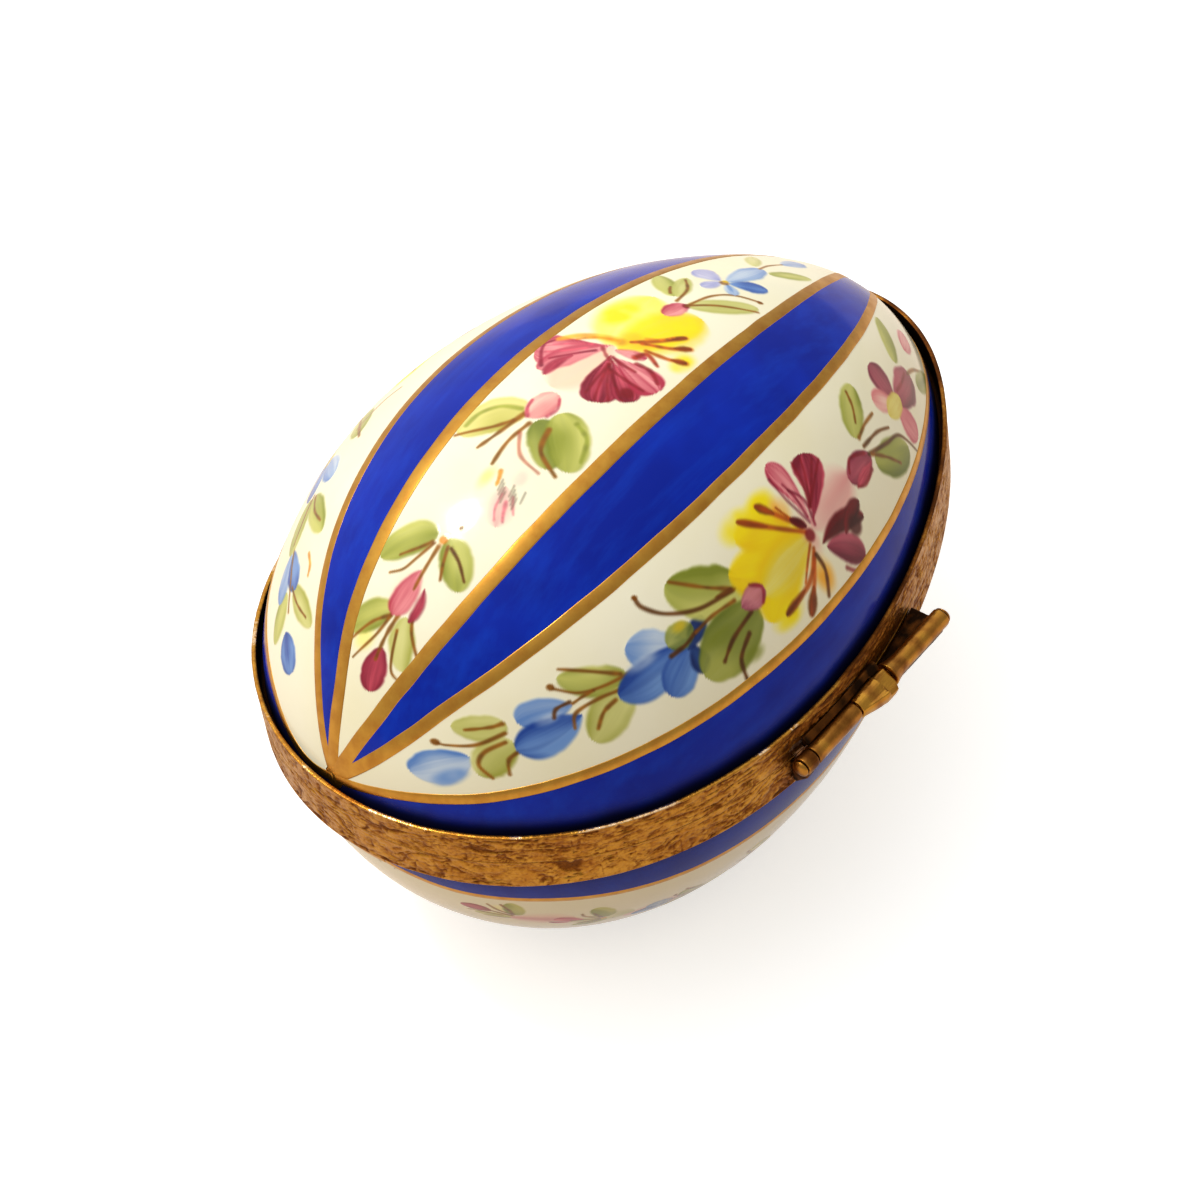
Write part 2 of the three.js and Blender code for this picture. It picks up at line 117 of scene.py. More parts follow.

# The imported solids that are drawn with worn edges: body, slot and how grimy each is; the bearers' high
# values are painted shade in the gaps behind the tubes
WORN_PIECES = {
    "base_hinge_tube_long": ("base", "hinge_brass", 0.25),
    "base_hinge_tube_short": ("base", "hinge_brass", 0.55),
    "lid_hinge_tube": ("lid", "hinge_brass", 0.4),
    "lid_stop_collar": ("lid", "hinge_brass", 0.1),
    "hinge_pin": ("base", "hinge_brass", 0.4),
    "lid_hinge_bearer": ("lid", "hinge_brass", 1.1),
    "base_bearer_long": ("base", "hinge_brass", 1.1),
    "base_bearer_short": ("base", "hinge_brass", 1.0),
    "clasp_tongue": ("lid", "rim_brass", 0.2),
    "catch_bead": ("base", "rim_brass", 0.2),
}
WORN_CELL = 0.055
WORN_PASSES = 7
WORN_SOFTEN = 0.6
WORN_BUMP = 0.035
WORN_SHINE = 7.0
WORN_SHINE_DEPTH = 0.06
WORN_STAIN = 0.7

# The painted lines run to two points on the surface: the ends of this axis, given as (y, z)
# from the egg's axis. The near one is at the blunt end
PAINT_NEAR = {"lid": (-2.746, 3.575), "base": (0.172, -4.239)}
PAINT_FAR = {"lid": (-2.958, 1.492), "base": (-0.081, -6.0)}

# Where the gold lines leave the axis, in degrees about it from +Y, and how far each is moved
# towards the front of the egg
STRIPE_LINES = (((114.32, 0.36), (92.93, 0.67)), ((61.49, -0.14), (41.71, 0.39)))
HINGE_LINE = (13.09, -0.33)
FRONT_LINE = 167.0
FRONT_LINE_DIP = 30.0
FRONT_LINE_DIP_FROM = 22.0
FRONT_LINE_DIP_POWER = 5
BASE_LINE = (-8.82, 0.92)
BASE_GARLAND = -24.0
BASE_PANEL_DROP = 24.0
OFFSET_FADE = (4.0, 14.0)

# The gold lines: how wide each is at its start and its end, how uneven, and its low section
LID_GOLD_WIDTHS = ((0.9, 0.8), (1.22, 0.85), (1.22, 0.8), (1.05, 0.75), (0.85, 0.8), (0.82, 0.7))
BASE_GOLD_WIDTHS = ((0.6, 0.6), (0.6, 0.6))
GOLD_NARROW = 0.95
GOLD_NARROW_RUN = (1.0, 9.0)
GOLD_TAPER = (0.35, 1.0)
GOLD_UNEVEN = 0.06
GOLD_WAVER = 0.05
GOLD_HEIGHT = 0.042
GOLD_STEP = 0.005
GOLD_SECTION = ((-0.5, -0.5), (-0.49, 0.45), (-0.42, 0.85), (0, 1), (0.42, 0.85),
                (0.49, 0.45), (0.5, -0.5), (0.3, -1.2), (-0.3, -1.2))
TIP_GOLD = 0.85

# The blue fields and the panels: how thick they lie, how far they reach and where the painted shade in
# the groove sits
BLUE_HEIGHT = 0.03
GLAZE_HEIGHT = 0.012
LAYER_STEP = 0.004
TIP_OVERLAP = 5
# Where the painted shade on the blue fields fades out, measured up from the porcelain's edge
BLUE_SHADE_FROM = {"lid": 1.5, "base": 0.9}
BLUE_SHADE_TO = {"lid": 3.1, "base": 4.6}
ENAMEL_HEIGHT = 0.02
PATCH_DEPTH = 0.08
TIP_X = 31.42
EDGE_CLEAR = 0.06
LEAST_REACH = 1.0
NEAR_SWING = 0.002
TIP_SWING = 0.03

# The panels of flowers: the turn of each middle line about the paint axis, in degrees
TOP_PANEL = 78.4
HINGE_PANEL = 26.3
FRONT_PANEL = 142.0
GARLAND_SIZE = 0.62
PANEL_SEEDS = {"top": 100, "hinge": 2100, "front": 4100, "base_hinge": 6100, "base_front": 8100}

# How finely the surfaces are divided
SHELL_ROWS = 260
SHELL_COLUMNS = 200
SHELL_END = 0.9999
SEARCH_STEPS = 4001
LINE_ROWS = 420
LINE_STEPS = 2000
STRIPE_COLUMNS = 40
RIM_FIELD_COLUMNS = 48
TIP_CELLS = 17
PANEL_ROWS = 700
PANEL_COLUMNS = 130
CHART_START = 31.45
CHART_END = -31.5
CHART_STEPS = 1500
STROKE_STEPS = 25
RIM_STEPS = 1500
FACE_ROWS = 30
EDGE_STEPS = 8
CORNER_ANGLE = 60.0
WELD = 0.002
RAY_LENGTH = 1.5 * HALF_LENGTH
HALVINGS = 34
LANDING_STEPS = 12

# Colours, written from 0 to 255 as a screen shows them
GLAZE_WHITE = (252, 248, 224)
GLAZE_WARM = (248, 242, 208)
COBALT = (5, 42, 176)
COBALT_DEEP = (4, 32, 152)
COBALT_PALE = (12, 70, 208)
# The near-black painted shade on the blue glaze down in the groove
BLUE_GROOVE_SHADE = (8, 6, 14)
LINE_GOLD = (202, 150, 62)
LINE_GOLD_WORN = (182, 126, 50)
# The rubbed top edge of the rims, drawn paler to stand in for its glints, a painted highlight
RUBBED_AND_HIGHLIGHT = (236, 202, 160)
BRASS = (192, 140, 54)
BRASS_RED = (166, 108, 36)
BRASS_BROWN = (130, 76, 24)
PATINA = (84, 44, 14)
# The near-black painted shade in the rims' groove
GROOVE_SHADE_DARK = (16, 10, 6)
HINGE_BRASS = (166, 112, 46)
HINGE_DARK = (104, 60, 22)
# Nearly black: dirt on the hinge, and painted shade on the bearers in the gaps behind the tubes
HINGE_GRIME_AND_SHADE = (34, 20, 10)
FLOOR_PALE = (238, 238, 237)
FLOOR_SHADE = (234, 234, 233)
FLOOR_BOUNCE = (176, 150, 116)
WHITE_LIGHT = (1, 1, 1, 1)

# The colours of the flowers, a light and a deep one where a brush mark has both
GREEN = ((202, 202, 104), (124, 134, 34))
GREEN_PALE = ((216, 214, 134), (162, 164, 62))
GREEN_DEEP = ((168, 172, 76), (94, 108, 26))
GREEN_YELLOW = ((234, 224, 128), (182, 176, 64))
PINK = ((244, 158, 160), (178, 44, 70))
PINK_PALE = ((248, 200, 184), (220, 120, 124))
PEACH = ((250, 216, 186), (236, 170, 150))
MAGENTA = ((214, 82, 102), (120, 12, 36))
MAROON = ((122, 12, 22), (58, 2, 4))
PLUM = ((186, 82, 100), (104, 18, 42))
PLUM_PALE = ((214, 132, 142), (150, 62, 90))
LEMON = ((255, 232, 10), (242, 196, 0))
LEMON_PALE = ((255, 246, 110), (252, 228, 50))
CREAM = ((242, 232, 140), (224, 202, 84))
ORANGE = ((250, 172, 40), (230, 124, 12))
SKY = ((192, 210, 234), (86, 130, 204))
SKY_DEEP = ((108, 150, 216), (26, 64, 156))
LAVENDER = ((200, 200, 232), (124, 132, 200))
NAVY = ((44, 78, 144), (10, 26, 84))
VEIN = (126, 70, 8)
VEIN_DARK = (84, 40, 4)
STAMEN = (176, 72, 8)
RUST = (156, 40, 20)
SCRATCH = (96, 84, 66)

# The brushes: where a mark is widest, how blunt it is, how much deeper its colour is at its tip,
# root and edges, how streaky and how solid it is, and how soft its edge is
Brush = namedtuple("Brush", "widest blunt tip root edge streak solid soft")
BRUSHES = {
    "leaf": Brush(0.95, 0.42, 0.05, 0.1, 0.35, 0.2, 0.92, 0.3),
    "petal": Brush(1.4, 0.45, 0.35, 0.2, 0.3, 0.35, 0.95, 0.28),
    "bud": Brush(1.1, 0.45, 0.2, 0.35, 0.35, 0.35, 0.95, 0.22),
    "fan": Brush(2.9, 0.42, 0.6, 0.1, 0.15, 0.9, 0.95, 0.2),
    "haze": Brush(1.2, 0.45, 0.1, 0.1, 0.1, 0.3, 0.75, 1.2),
    "soft": Brush(1.3, 0.45, 0.15, 0.3, 0.1, 0.3, 0.95, 0.7),
}
SCREEN_POWER = 2.2

# The floor, the light and the camera, here in metres
FLOOR_SIZE = 1.6
FLOOR_GLOW = 0.56
WORLD_DIM = 0.48
WORLD_BRIGHT = 1.5
WORLD_TURN = -88.0
WORLD_RISE = 56.0
WORLD_FALL = 2.0
WORLD_TINT = (1, 0.985, 0.95, 1)
LAMP_TURN = -64.0
LAMP_RISE = 63.0
LAMP_DISTANCE = 0.45
LAMP_SIZE = 0.09
LAMP_WATTS = 0.75
LAMP_COLOUR = (1.0, 0.95, 0.84)
CAMERA_TURN = 44.693
CAMERA_RISE = 45.162
CAMERA_ROLL = -9.468
CAMERA_DISTANCE = 0.3
CAMERA_AIM = (0.013485, 0.009435, 0.033689)
CAMERA_LENS = 122.307
CAMERA_SENSOR = 36.0
CAMERA_CLIP = 0.01

# The lattice that all uneven shapes and tones are drawn from
LATTICE_SIZE = 256
LATTICE = np.random.default_rng(11).random((LATTICE_SIZE, LATTICE_SIZE))
SEED_SHIFT = (37, 91)


def noise(u, v, seed=0, period=LATTICE_SIZE):
    """Smooth noise from 0 to 1 on a unit lattice, which repeats along u after a period."""
    cell_u, cell_v = np.floor(u).astype(int), np.floor(v).astype(int)
    part_u, part_v = u - cell_u, v - cell_v
    part_u = part_u * part_u * (3 - 2 * part_u)
    part_v = part_v * part_v * (3 - 2 * part_v)

    def corner(du, dv):
        row = (cell_u + du) % period + SEED_SHIFT[0] * seed
        column = cell_v + dv + SEED_SHIFT[1] * seed
        return LATTICE[row % LATTICE_SIZE, column % LATTICE_SIZE]
    near = corner(0, 0) * (1 - part_u) + corner(1, 0) * part_u
    far = corner(0, 1) * (1 - part_u) + corner(1, 1) * part_u
    return near * (1 - part_v) + far * part_v


def smooth(low, high, value):
    share = np.clip((value - low) / (high - low), 0, 1)
    return share * share * (3 - 2 * share)


# The egg's surface

def half_width(x, wall=0.0):
    share = np.clip(x / (HALF_LENGTH - wall), -1, 1)
    return (HALF_WIDTH - wall) / WIDEST_SHARE * np.sqrt(1 - share ** 2) * (1 + BLUNTNESS * share)


def stretch(side, wall=0.0):
    return (RISE[side] - wall) / (HALF_WIDTH - wall)


def surface(side, x, turn, wall=0.0):
    """Points at a place along the egg and a turn about its axis, in radians from +Y."""
    radius = half_width(x, wall)
    x, radius, turn = np.broadcast_arrays(x, radius, turn)
    return np.stack([x, radius * np.cos(turn),
                     FOOT_DROP + stretch(side, wall) * radius * np.sin(turn)], -1)


def height_of(side, points):
    """How high points lie over the egg's axis, before each half is stretched to its own height."""
    return (points[..., 2] - FOOT_DROP) / stretch(side)


def slope_of(x):
    """How fast the square of the half width grows along the egg."""
    share = x / HALF_LENGTH
    grown = 1 + BLUNTNESS * share
    gain = (1 - share ** 2) * BLUNTNESS * grown - share * grown ** 2
    return 2 * FULL_WIDTH ** 2 * gain / HALF_LENGTH


def normals(side, points):
    height = height_of(side, points) / stretch(side)
    out = np.stack([-slope_of(points[..., 0]) / 2, points[..., 1], height], -1)
    return out / np.linalg.norm(out, axis=-1, keepdims=True)


def axis_at(side, x):
    """The paint axis at a place along the egg, as (y, height) from the egg's axis."""
    share = (1 - x / HALF_LENGTH) / 2
    near, far = PAINT_NEAR[side], PAINT_FAR[side]
    return near[0] + (far[0] - near[0]) * share, near[1] + (far[1] - near[1]) * share


def paint_frame(side, points):
    """The angle of points about the paint axis and their distance from it."""
    axis_y, axis_z = axis_at(side, points[..., 0])
    y, height = points[..., 1] - axis_y, height_of(side, points) - axis_z
    return np.arctan2(height, y), np.hypot(height, y)


def where_rays_end(place_at, shape):
    """Follows rays out to the surface by halving the way. place_at gives x, y and height over the
    egg's axis for lengths along the rays."""
    near, far = np.zeros(shape), np.full(shape, RAY_LENGTH)
    for _ in range(HALVINGS):
        middle = (near + far) / 2
        x, y, height = place_at(middle)
        beyond = (np.hypot(y, height) > half_width(x)) | (np.abs(x) > HALF_LENGTH)
        near, far = np.where(beyond, near, middle), np.where(beyond, middle, far)
    return x, y, height


def cast(side, swing, turn):
    """Where rays from the middle of the paint axis meet the surface: the swing is 0 towards the
    blunt end and pi towards the far one, the turn is the angle about the axis."""
    swing, turn = np.broadcast_arrays(swing, turn)

    def place_at(length):
        x, out = length * np.cos(swing), length * np.sin(swing)
        axis_y, axis_z = axis_at(side, x)
        return x, axis_y + out * np.cos(turn), axis_z + out * np.sin(turn)

    x, y, height = where_rays_end(place_at, swing.shape)
    return np.stack([x, y, FOOT_DROP + stretch(side) * height], -1)


def line_turn(side, swing, angle, offset=0.0):
    """The turn of a painted line about the paint axis, moved aside by an offset in millimetres,
    towards the front where it is positive; near the tips the offset fades."""
    turn = np.radians(angle) + 0 * swing
    _, reach = paint_frame(side, cast(side, swing, turn))
    return turn + offset * smooth(*OFFSET_FADE, reach) / np.maximum(reach, LEAST_REACH)


def onto(side, points):
    """Brings points that lie near the surface onto it."""
    x, y, height = points[..., 0], points[..., 1], height_of(side, points)
    for _ in range(LANDING_STEPS):
        share = x / HALF_LENGTH
        radius = FULL_WIDTH * (1 + BLUNTNESS * share)
        miss = y ** 2 + height ** 2 - (1 - share ** 2) * radius ** 2
        slope = slope_of(x)
        step = miss / (slope ** 2 + 4 * y ** 2 + 4 * height ** 2)
        x, y, height = x + step * slope, y - 2 * step * y, height - 2 * step * height
    return np.stack([x, y, FOOT_DROP + stretch(side) * height], -1)


def edge_turn(side, x, height, wall=0.0):
    """The turn at which the surface passes a height, on the hinge's side."""
    sine = (height - FOOT_DROP) / (stretch(side, wall) * np.maximum(half_width(x, wall), 1e-6))
    return np.arcsin(np.clip(sine, -1, 1))


def stations(start, end, count):
    """Places along the egg, closer together towards its tips."""
    first, last = math.acos(start / HALF_LENGTH), math.acos(end / HALF_LENGTH)
    return HALF_LENGTH * np.cos(np.linspace(first, last, count))


def lengths_along(line):
    """The length run so far at each point of a line."""
    return np.concatenate([[0], np.cumsum(np.linalg.norm(np.diff(line, axis=0), axis=1))])


# Meshes

def swelled(points):
    """The lid's porcelain at its drawn fullness."""
    out = points[..., :2] / [(HALF_LENGTH / HALF_WIDTH) ** 2, 1]
    out = out / np.maximum(np.linalg.norm(out, axis=-1, keepdims=True), 1e-6)
    low = 1 - smooth(*SWELL_HEIGHTS, points[..., 2])
    far = smooth(*SWELL_RANGE, points[..., :2] @ FAR_SIDE)
    push = SWELL_LOW * low + SWELL_FAR * far * (1 - low)
    return np.concatenate([points[..., :2] + push[..., None] * out, points[..., 2:]], -1)


def make_piece(name, points, faces, body, slot, material, replaced=()):
    if slot == "lid_porcelain":
        points = swelled(points)
    mesh = bpy.data.meshes.new(name)
    mesh.from_pydata((points.reshape(-1, 3) * MM).tolist(), [], faces)
    mesh.polygons.foreach_set("use_smooth", [True] * len(mesh.polygons))
    mesh.materials.append(material)
    piece = bpy.data.objects.new(name, mesh)
    bpy.context.scene.collection.objects.link(piece)
    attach(piece, body)
    if replaced:
        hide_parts(*replaced)
    return piece


def grid_faces(rows, columns, first=0, flip=False, around=False, wrap=False):
    """Quads of a grid of points; around joins the last column to the first, wrap the rows."""
    down = np.arange(rows if wrap else rows - 1)[:, None]
    over = np.arange(columns if around else columns - 1)[None, :]
    below, beside = (down + 1) % rows, (over + 1) % columns
    corners = [down * columns + over, below * columns + over,
               below * columns + beside, down * columns + beside]
    quads = np.stack(np.broadcast_arrays(*corners), -1).reshape(-1, 4) + first
    return (quads[:, ::-1] if flip else quads).tolist()


def strip(loop_a, loop_b):
    return [[loop_a[i], loop_a[i + 1], loop_b[i + 1], loop_b[i]] for i in range(len(loop_a) - 1)]


def patch(top, bottom):
    """A closed thin form between two grids of points; the bottom may have only its two sides."""
    rows, columns = top.shape[:2]
    low_columns = bottom.shape[1]
    first = rows * columns
    faces = grid_faces(rows, columns) + grid_faces(rows, low_columns, first, flip=True)
    down = list(range(rows))
    faces += strip([first + i * low_columns for i in down], [i * columns for i in down])
    faces += strip([i * columns + columns - 1 for i in down],
                   [first + i * low_columns + low_columns - 1 for i in down])
    for row, turned in ((0, False), (rows - 1, True)):
        upper = [row * columns + j for j in range(columns)]
        lower = [first + row * low_columns, first + row * low_columns + low_columns - 1]
        end = upper + lower[::-1]
        faces.append(end if turned else end[::-1])
    return np.concatenate([top.reshape(-1, 3), bottom.reshape(-1, 3)]), faces


def swept(sections):
    """A closed tube through sections of points that each go round once."""
    rows, columns = sections.shape[:2]
    faces = grid_faces(rows, columns, around=True)
    faces.append(list(range(columns)))
    faces.append([(rows - 1) * columns + j for j in range(columns)][::-1])
    return sections.reshape(-1, 3), faces


def add_values(piece, name, values, kind="FLOAT"):
    """Stores a value or a colour for each point; what the mesh has beyond them gets none."""
    count = len(piece.data.vertices)
    width = 4 if kind == "FLOAT_COLOR" else 1
    store = np.zeros((count, width), np.float32)
    values = values.reshape(-1, values.shape[-1] if width == 4 else 1)
    store[:len(values), :values.shape[1]] = values
    if width == 4:
        store[:, 3] = 1
    attribute = piece.data.attributes.new(name, kind, "POINT")
    attribute.data.foreach_set("color" if width == 4 else "value", store.ravel())


# Materials

def linear(colour):
    """A colour written from 0 to 255 as a screen shows it, turned to the light it stands for."""
    share = np.asarray(colour, float) / 255
    return np.where(share <= 0.04045, share / 12.92, ((share + 0.055) / 1.055) ** 2.4)


def shown(colour):
    """A written colour as shares of the screen's full light."""
    return np.asarray(colour, float) / 255


def rgba(colour):
    return (*linear(colour), 1.0)


class Nodes:
    """The nodes of a material or of the world, made and joined in short calls."""

    def __init__(self, owner, shader="Principled BSDF", place="Object"):
        owner.use_nodes = True
        self.owner = owner
        self.tree = owner.node_tree
        self.shader = self.tree.nodes[shader]
        self.place = self.add("ShaderNodeTexCoord").outputs[place]

    def add(self, kind, **settings):
        node = self.tree.nodes.new(kind)
        for key, value in settings.items():
            setattr(node, key, value)
        return node

    def join(self, output, socket):
        self.tree.links.new(output, socket)

    def value(self, socket, source):
        if isinstance(source, bpy.types.NodeSocket):
            self.join(source, socket)
        else:
            socket.default_value = source

    def attribute(self, name, output="Fac"):
        return self.add("ShaderNodeAttribute", attribute_name=name).outputs[output]

    def scaled(self, factors, place=None):
        node = self.add("ShaderNodeMapping")
        self.join(place or self.place, node.inputs["Vector"])
        node.inputs["Scale"].default_value = factors
        return node.outputs["Vector"]

    def noise(self, scale, detail=3.0, rough=0.5, place=None):
        node = self.add("ShaderNodeTexNoise")
        self.join(place or self.place, node.inputs["Vector"])
        node.inputs["Scale"].default_value = scale
        node.inputs["Detail"].default_value = detail
        node.inputs["Roughness"].default_value = rough
        return node.outputs["Fac"]

    def range(self, source, low, high, to_low, to_high):
        node = self.add("ShaderNodeMapRange")
        ends = {"Value": source, "From Min": low, "From Max": high, "To Min": to_low, "To Max": to_high}
        for name, end in ends.items():
            self.value(node.inputs[name], end)
        return node.outputs["Result"]

    def math(self, operation, first, second):
        node = self.add("ShaderNodeMath", operation=operation)
        self.value(node.inputs[0], first)
        self.value(node.inputs[1], second)
        return node.outputs["Value"]

    def mix(self, share, first, second, blend="MIX"):
        node = self.add("ShaderNodeMix", data_type="RGBA", blend_type=blend)
        self.value(node.inputs[0], share)
        self.value(node.inputs[6], first)
        self.value(node.inputs[7], second)
        return node.outputs[2]

    def bump(self, height, strength, distance):
        node = self.add("ShaderNodeBump")
        self.join(height, node.inputs["Height"])
        node.inputs["Strength"].default_value = strength
        node.inputs["Distance"].default_value = distance
        self.join(node.outputs["Normal"], self.shader.inputs["Normal"])

    def set(self, **sockets):
        for name, source in sockets.items():
            self.value(self.shader.inputs[name.replace("_", " ")], source)
        return self.owner


def material_nodes(name):
    return Nodes(bpy.data.materials.new(name))


def porcelain():
    """White glaze, with the colour that was painted on it where the mesh carries some."""
    nodes = material_nodes("glazed_porcelain")
    clouds = nodes.noise(90.0, 4.0)
    white = nodes.mix(nodes.range(clouds, 0.35, 0.7, 0, 1), rgba(GLAZE_WHITE), rgba(GLAZE_WARM))
    cover = nodes.attribute("cover")
    bare = nodes.mix(cover, white, (0, 0, 0, 1))
    colour = nodes.mix(1.0, bare, nodes.attribute("paint", "Color"), "ADD")
    nodes.bump(nodes.noise(420.0, 2.0), 0.05, 0.0002)
    rough = nodes.range(nodes.noise(1500.0, 2.0), 0.3, 0.7, 0.09, 0.16)
    rough = nodes.math("ADD", rough, nodes.math("MULTIPLY", cover, 0.05))
    return nodes.set(Base_Color=colour, Roughness=rough, Specular_IOR_Level=0.24)


def cobalt():
    """Deep blue glaze, laid on in brush strokes that show as paler and deeper streaks, with near-black
    painted shade where it runs down into the groove under the rim.
    """
    nodes = material_nodes("cobalt_glaze")
    streaks = nodes.noise(1.0, 4.0, 0.6, nodes.scaled((90.0, 700.0, 500.0)))
    pools = nodes.noise(160.0, 3.0)
    colour = nodes.mix(nodes.range(pools, 0.35, 0.65, 0, 1), rgba(COBALT), rgba(COBALT_DEEP))
    colour = nodes.mix(nodes.range(streaks, 0.45, 0.8, 0, 0.45), colour, rgba(COBALT_PALE))
    # Painted shade: the blue turns near black, and its glaze duller, down in the groove under the rim
    shade_and_grime = nodes.attribute("shade_and_grime")
    colour = nodes.mix(nodes.math("MULTIPLY", shade_and_grime, 0.94), colour, rgba(BLUE_GROOVE_SHADE))
    nodes.bump(nodes.noise(500.0, 2.0), 0.06, 0.0002)
    rough = nodes.range(pools, 0.3, 0.7, 0.08, 0.18)
    rough = nodes.math("ADD", rough, nodes.math("MULTIPLY", shade_and_grime, 0.4))
    return nodes.set(Base_Color=colour, Roughness=rough, Specular_IOR_Level=0.12)


def line_gold():
    nodes = material_nodes("line_gold")
    worn = nodes.noise(700.0, 4.0, 0.6)
    colour = nodes.mix(nodes.range(worn, 0.35, 0.7, 0, 1), rgba(LINE_GOLD), rgba(LINE_GOLD_WORN))
    nodes.bump(nodes.noise(5200.0, 3.0), 0.1, 0.00005)
    rough = nodes.range(worn, 0.3, 0.75, 0.3, 0.42)
    return nodes.set(Base_Color=colour, Roughness=rough, Metallic=1.0)


def rim_brass():
    """Gilt brass: dark and reddish in the chisel cuts, bright on the ridges, its rubbed top edge
    lightened as a painted highlight and its groove near black as painted shade.
    """
    nodes = material_nodes("chiselled_brass")
    cut = nodes.attribute("cut")
    patches = nodes.noise(900.0, 4.0, 0.65)
    grains = nodes.noise(4200.0, 3.0, 0.6)
    colour = nodes.mix(nodes.range(patches, 0.35, 0.7, 0, 1), rgba(BRASS), rgba(BRASS_RED))
    tarnish = nodes.math("ADD", cut, nodes.range(grains, 0.3, 0.75, -0.22, 0.3))
    # Painted highlight: the rubbed top edge is drawn lighter and paler than the brass
    colour = nodes.mix(nodes.range(tarnish, -0.6, -0.3, 1, 0), colour, rgba(RUBBED_AND_HIGHLIGHT))
    colour = nodes.mix(nodes.range(tarnish, 0.1, 0.75, 0, 1), colour, rgba(BRASS_BROWN))
    colour = nodes.mix(nodes.range(tarnish, 0.75, 1.3, 0, 0.9), colour, rgba(PATINA))
    # Painted shade: near black where the cut value is highest, down in the groove
    colour = nodes.mix(nodes.range(cut, 1.3, 1.8, 0, 1), colour, rgba(GROOVE_SHADE_DARK))
    nodes.bump(grains, 0.5, 0.0001)
    rough = nodes.range(tarnish, -0.5, 1, 0.2, 0.55)
    return nodes.set(Base_Color=colour, Roughness=rough, Metallic=1.0)


def hinge_brass():
    """Aged brass: bright on the worn edges, brown on the rest, and nearly black where dirt sits and, on
    the bearers, as painted shade.
    """
    nodes = material_nodes("aged_brass")
    cut = nodes.attribute("cut")
    patches = nodes.noise(800.0, 5.0, 0.65)
    drawn = nodes.noise(1.0, 3.0, 0.6, nodes.scaled((260.0, 3200.0, 3200.0)))
    tone = nodes.math("ADD", cut, nodes.range(patches, 0.3, 0.7, -0.2, 0.25))
    colour = nodes.mix(nodes.range(tone, -0.2, 0.25, 0, 1), rgba(BRASS), rgba(HINGE_BRASS))
    colour = nodes.mix(nodes.range(tone, 0.2, 0.75, 0, 1), colour, rgba(HINGE_DARK))
    # Nearly black: dirt, and painted shade on the bearers, whose values lie highest
    colour = nodes.mix(nodes.range(tone, 0.75, 1.25, 0, 1), colour, rgba(HINGE_GRIME_AND_SHADE))
    nodes.bump(nodes.math("ADD", drawn, patches), 0.3, 0.00012)
    rough = nodes.range(tone, 0, 1, 0.26, 0.55)
    return nodes.set(Base_Color=colour, Roughness=rough, Metallic=1.0)


PORCELAIN = porcelain()
BLUE = cobalt()
GOLD = line_gold()
RIM_BRASS = rim_brass()
HINGE_METAL = hinge_brass()

# The porcelain shells

def shell_ring(side, count, wall):
    """Places along a shell where it stands clear of its edge, from the blunt tip."""
    lift = abs(EDGE_Z[side] - FOOT_DROP) / stretch(side, wall)
    reach = HALF_LENGTH * SHELL_END
    places = stations(reach, -reach, SEARCH_STEPS) * (1 - wall / HALF_LENGTH)
    clear = places[half_width(places, wall) > lift + 1e-4]
    turns = np.arccos(np.clip(clear[[0, -1]] / (HALF_LENGTH - wall), -1, 1))
    return (HALF_LENGTH - wall) * np.cos(np.linspace(turns[0], turns[1], count))


def shell_side(side, wall):
    x = shell_ring(side, SHELL_ROWS, wall)[:, None]
    start = edge_turn(side, x, EDGE_Z[side], wall)
    share = np.linspace(0, 1, SHELL_COLUMNS)[None, :]
    points = surface(side, x, start + (FROM_SEAM[side] * math.pi - 2 * start) * share, wall)
    if side == "base":
        floor = FLOOR_WALL if wall else 0.0
        height = points[..., 2] - floor
        points[..., 2] = floor + (height + np.sqrt(height ** 2 + FOOT_ROUND ** 2)) / 2
        points[:, [0, -1], 2] = EDGE_Z[side]
    return points


def make_shell(side):
    outside, inside = shell_side(side, 0.0), shell_side(side, WALL[side])
    rows, columns = SHELL_ROWS, SHELL_COLUMNS
    first = rows * columns
    faces = grid_faces(rows, columns) + grid_faces(rows, columns, first, flip=True)
    edge_a = [i * columns for i in range(rows)]
    edge_b = [i * columns + columns - 1 for i in range(rows)][::-1]
    loop = edge_a + edge_b + edge_a[:1]
    faces += strip([first + i for i in loop], loop)
    if side == "base":
        faces = [face[::-1] for face in faces]
    points = np.concatenate([outside.reshape(-1, 3), inside.reshape(-1, 3)])
    piece = make_piece(f"{side}_porcelain_shell", points, faces, side, f"{side}_porcelain",
                       PORCELAIN, (f"{side}_shell",))
    piece.data.set_sharp_from_angle(angle=math.radians(CORNER_ANGLE))
    weld = piece.modifiers.new("weld", "WELD")
    weld.merge_threshold = WELD * MM


# The painted stripes and lines

def swings(side, angle, start, end, count):
    """Swings that step evenly along a painted line."""
    fine = np.linspace(start, end, LINE_STEPS)
    run = lengths_along(cast(side, fine, np.radians(angle) + 0 * fine))
    return np.interp(np.linspace(0, run[-1], count), run, fine)


def front_turn(swing):
    """The front line dips where it nears the blunt tip."""
    turn = np.radians(FRONT_LINE) + 0 * swing
    for _ in range(3):
        x = cast("lid", swing, turn)[..., 0]
        dip = np.clip((x - FRONT_LINE_DIP_FROM) / (TIP_X - FRONT_LINE_DIP_FROM), 0, 1)
        turn = np.radians(FRONT_LINE + FRONT_LINE_DIP * dip ** FRONT_LINE_DIP_POWER)
    return turn


def field(side, swing, first_turn, last_turn, columns):
    """A grid on the surface between two painted lines."""
    share = np.linspace(0, 1, columns)[None, :]
    turn = first_turn[:, None] + (last_turn - first_turn)[:, None] * share
    return cast(side, swing[:, None], turn)


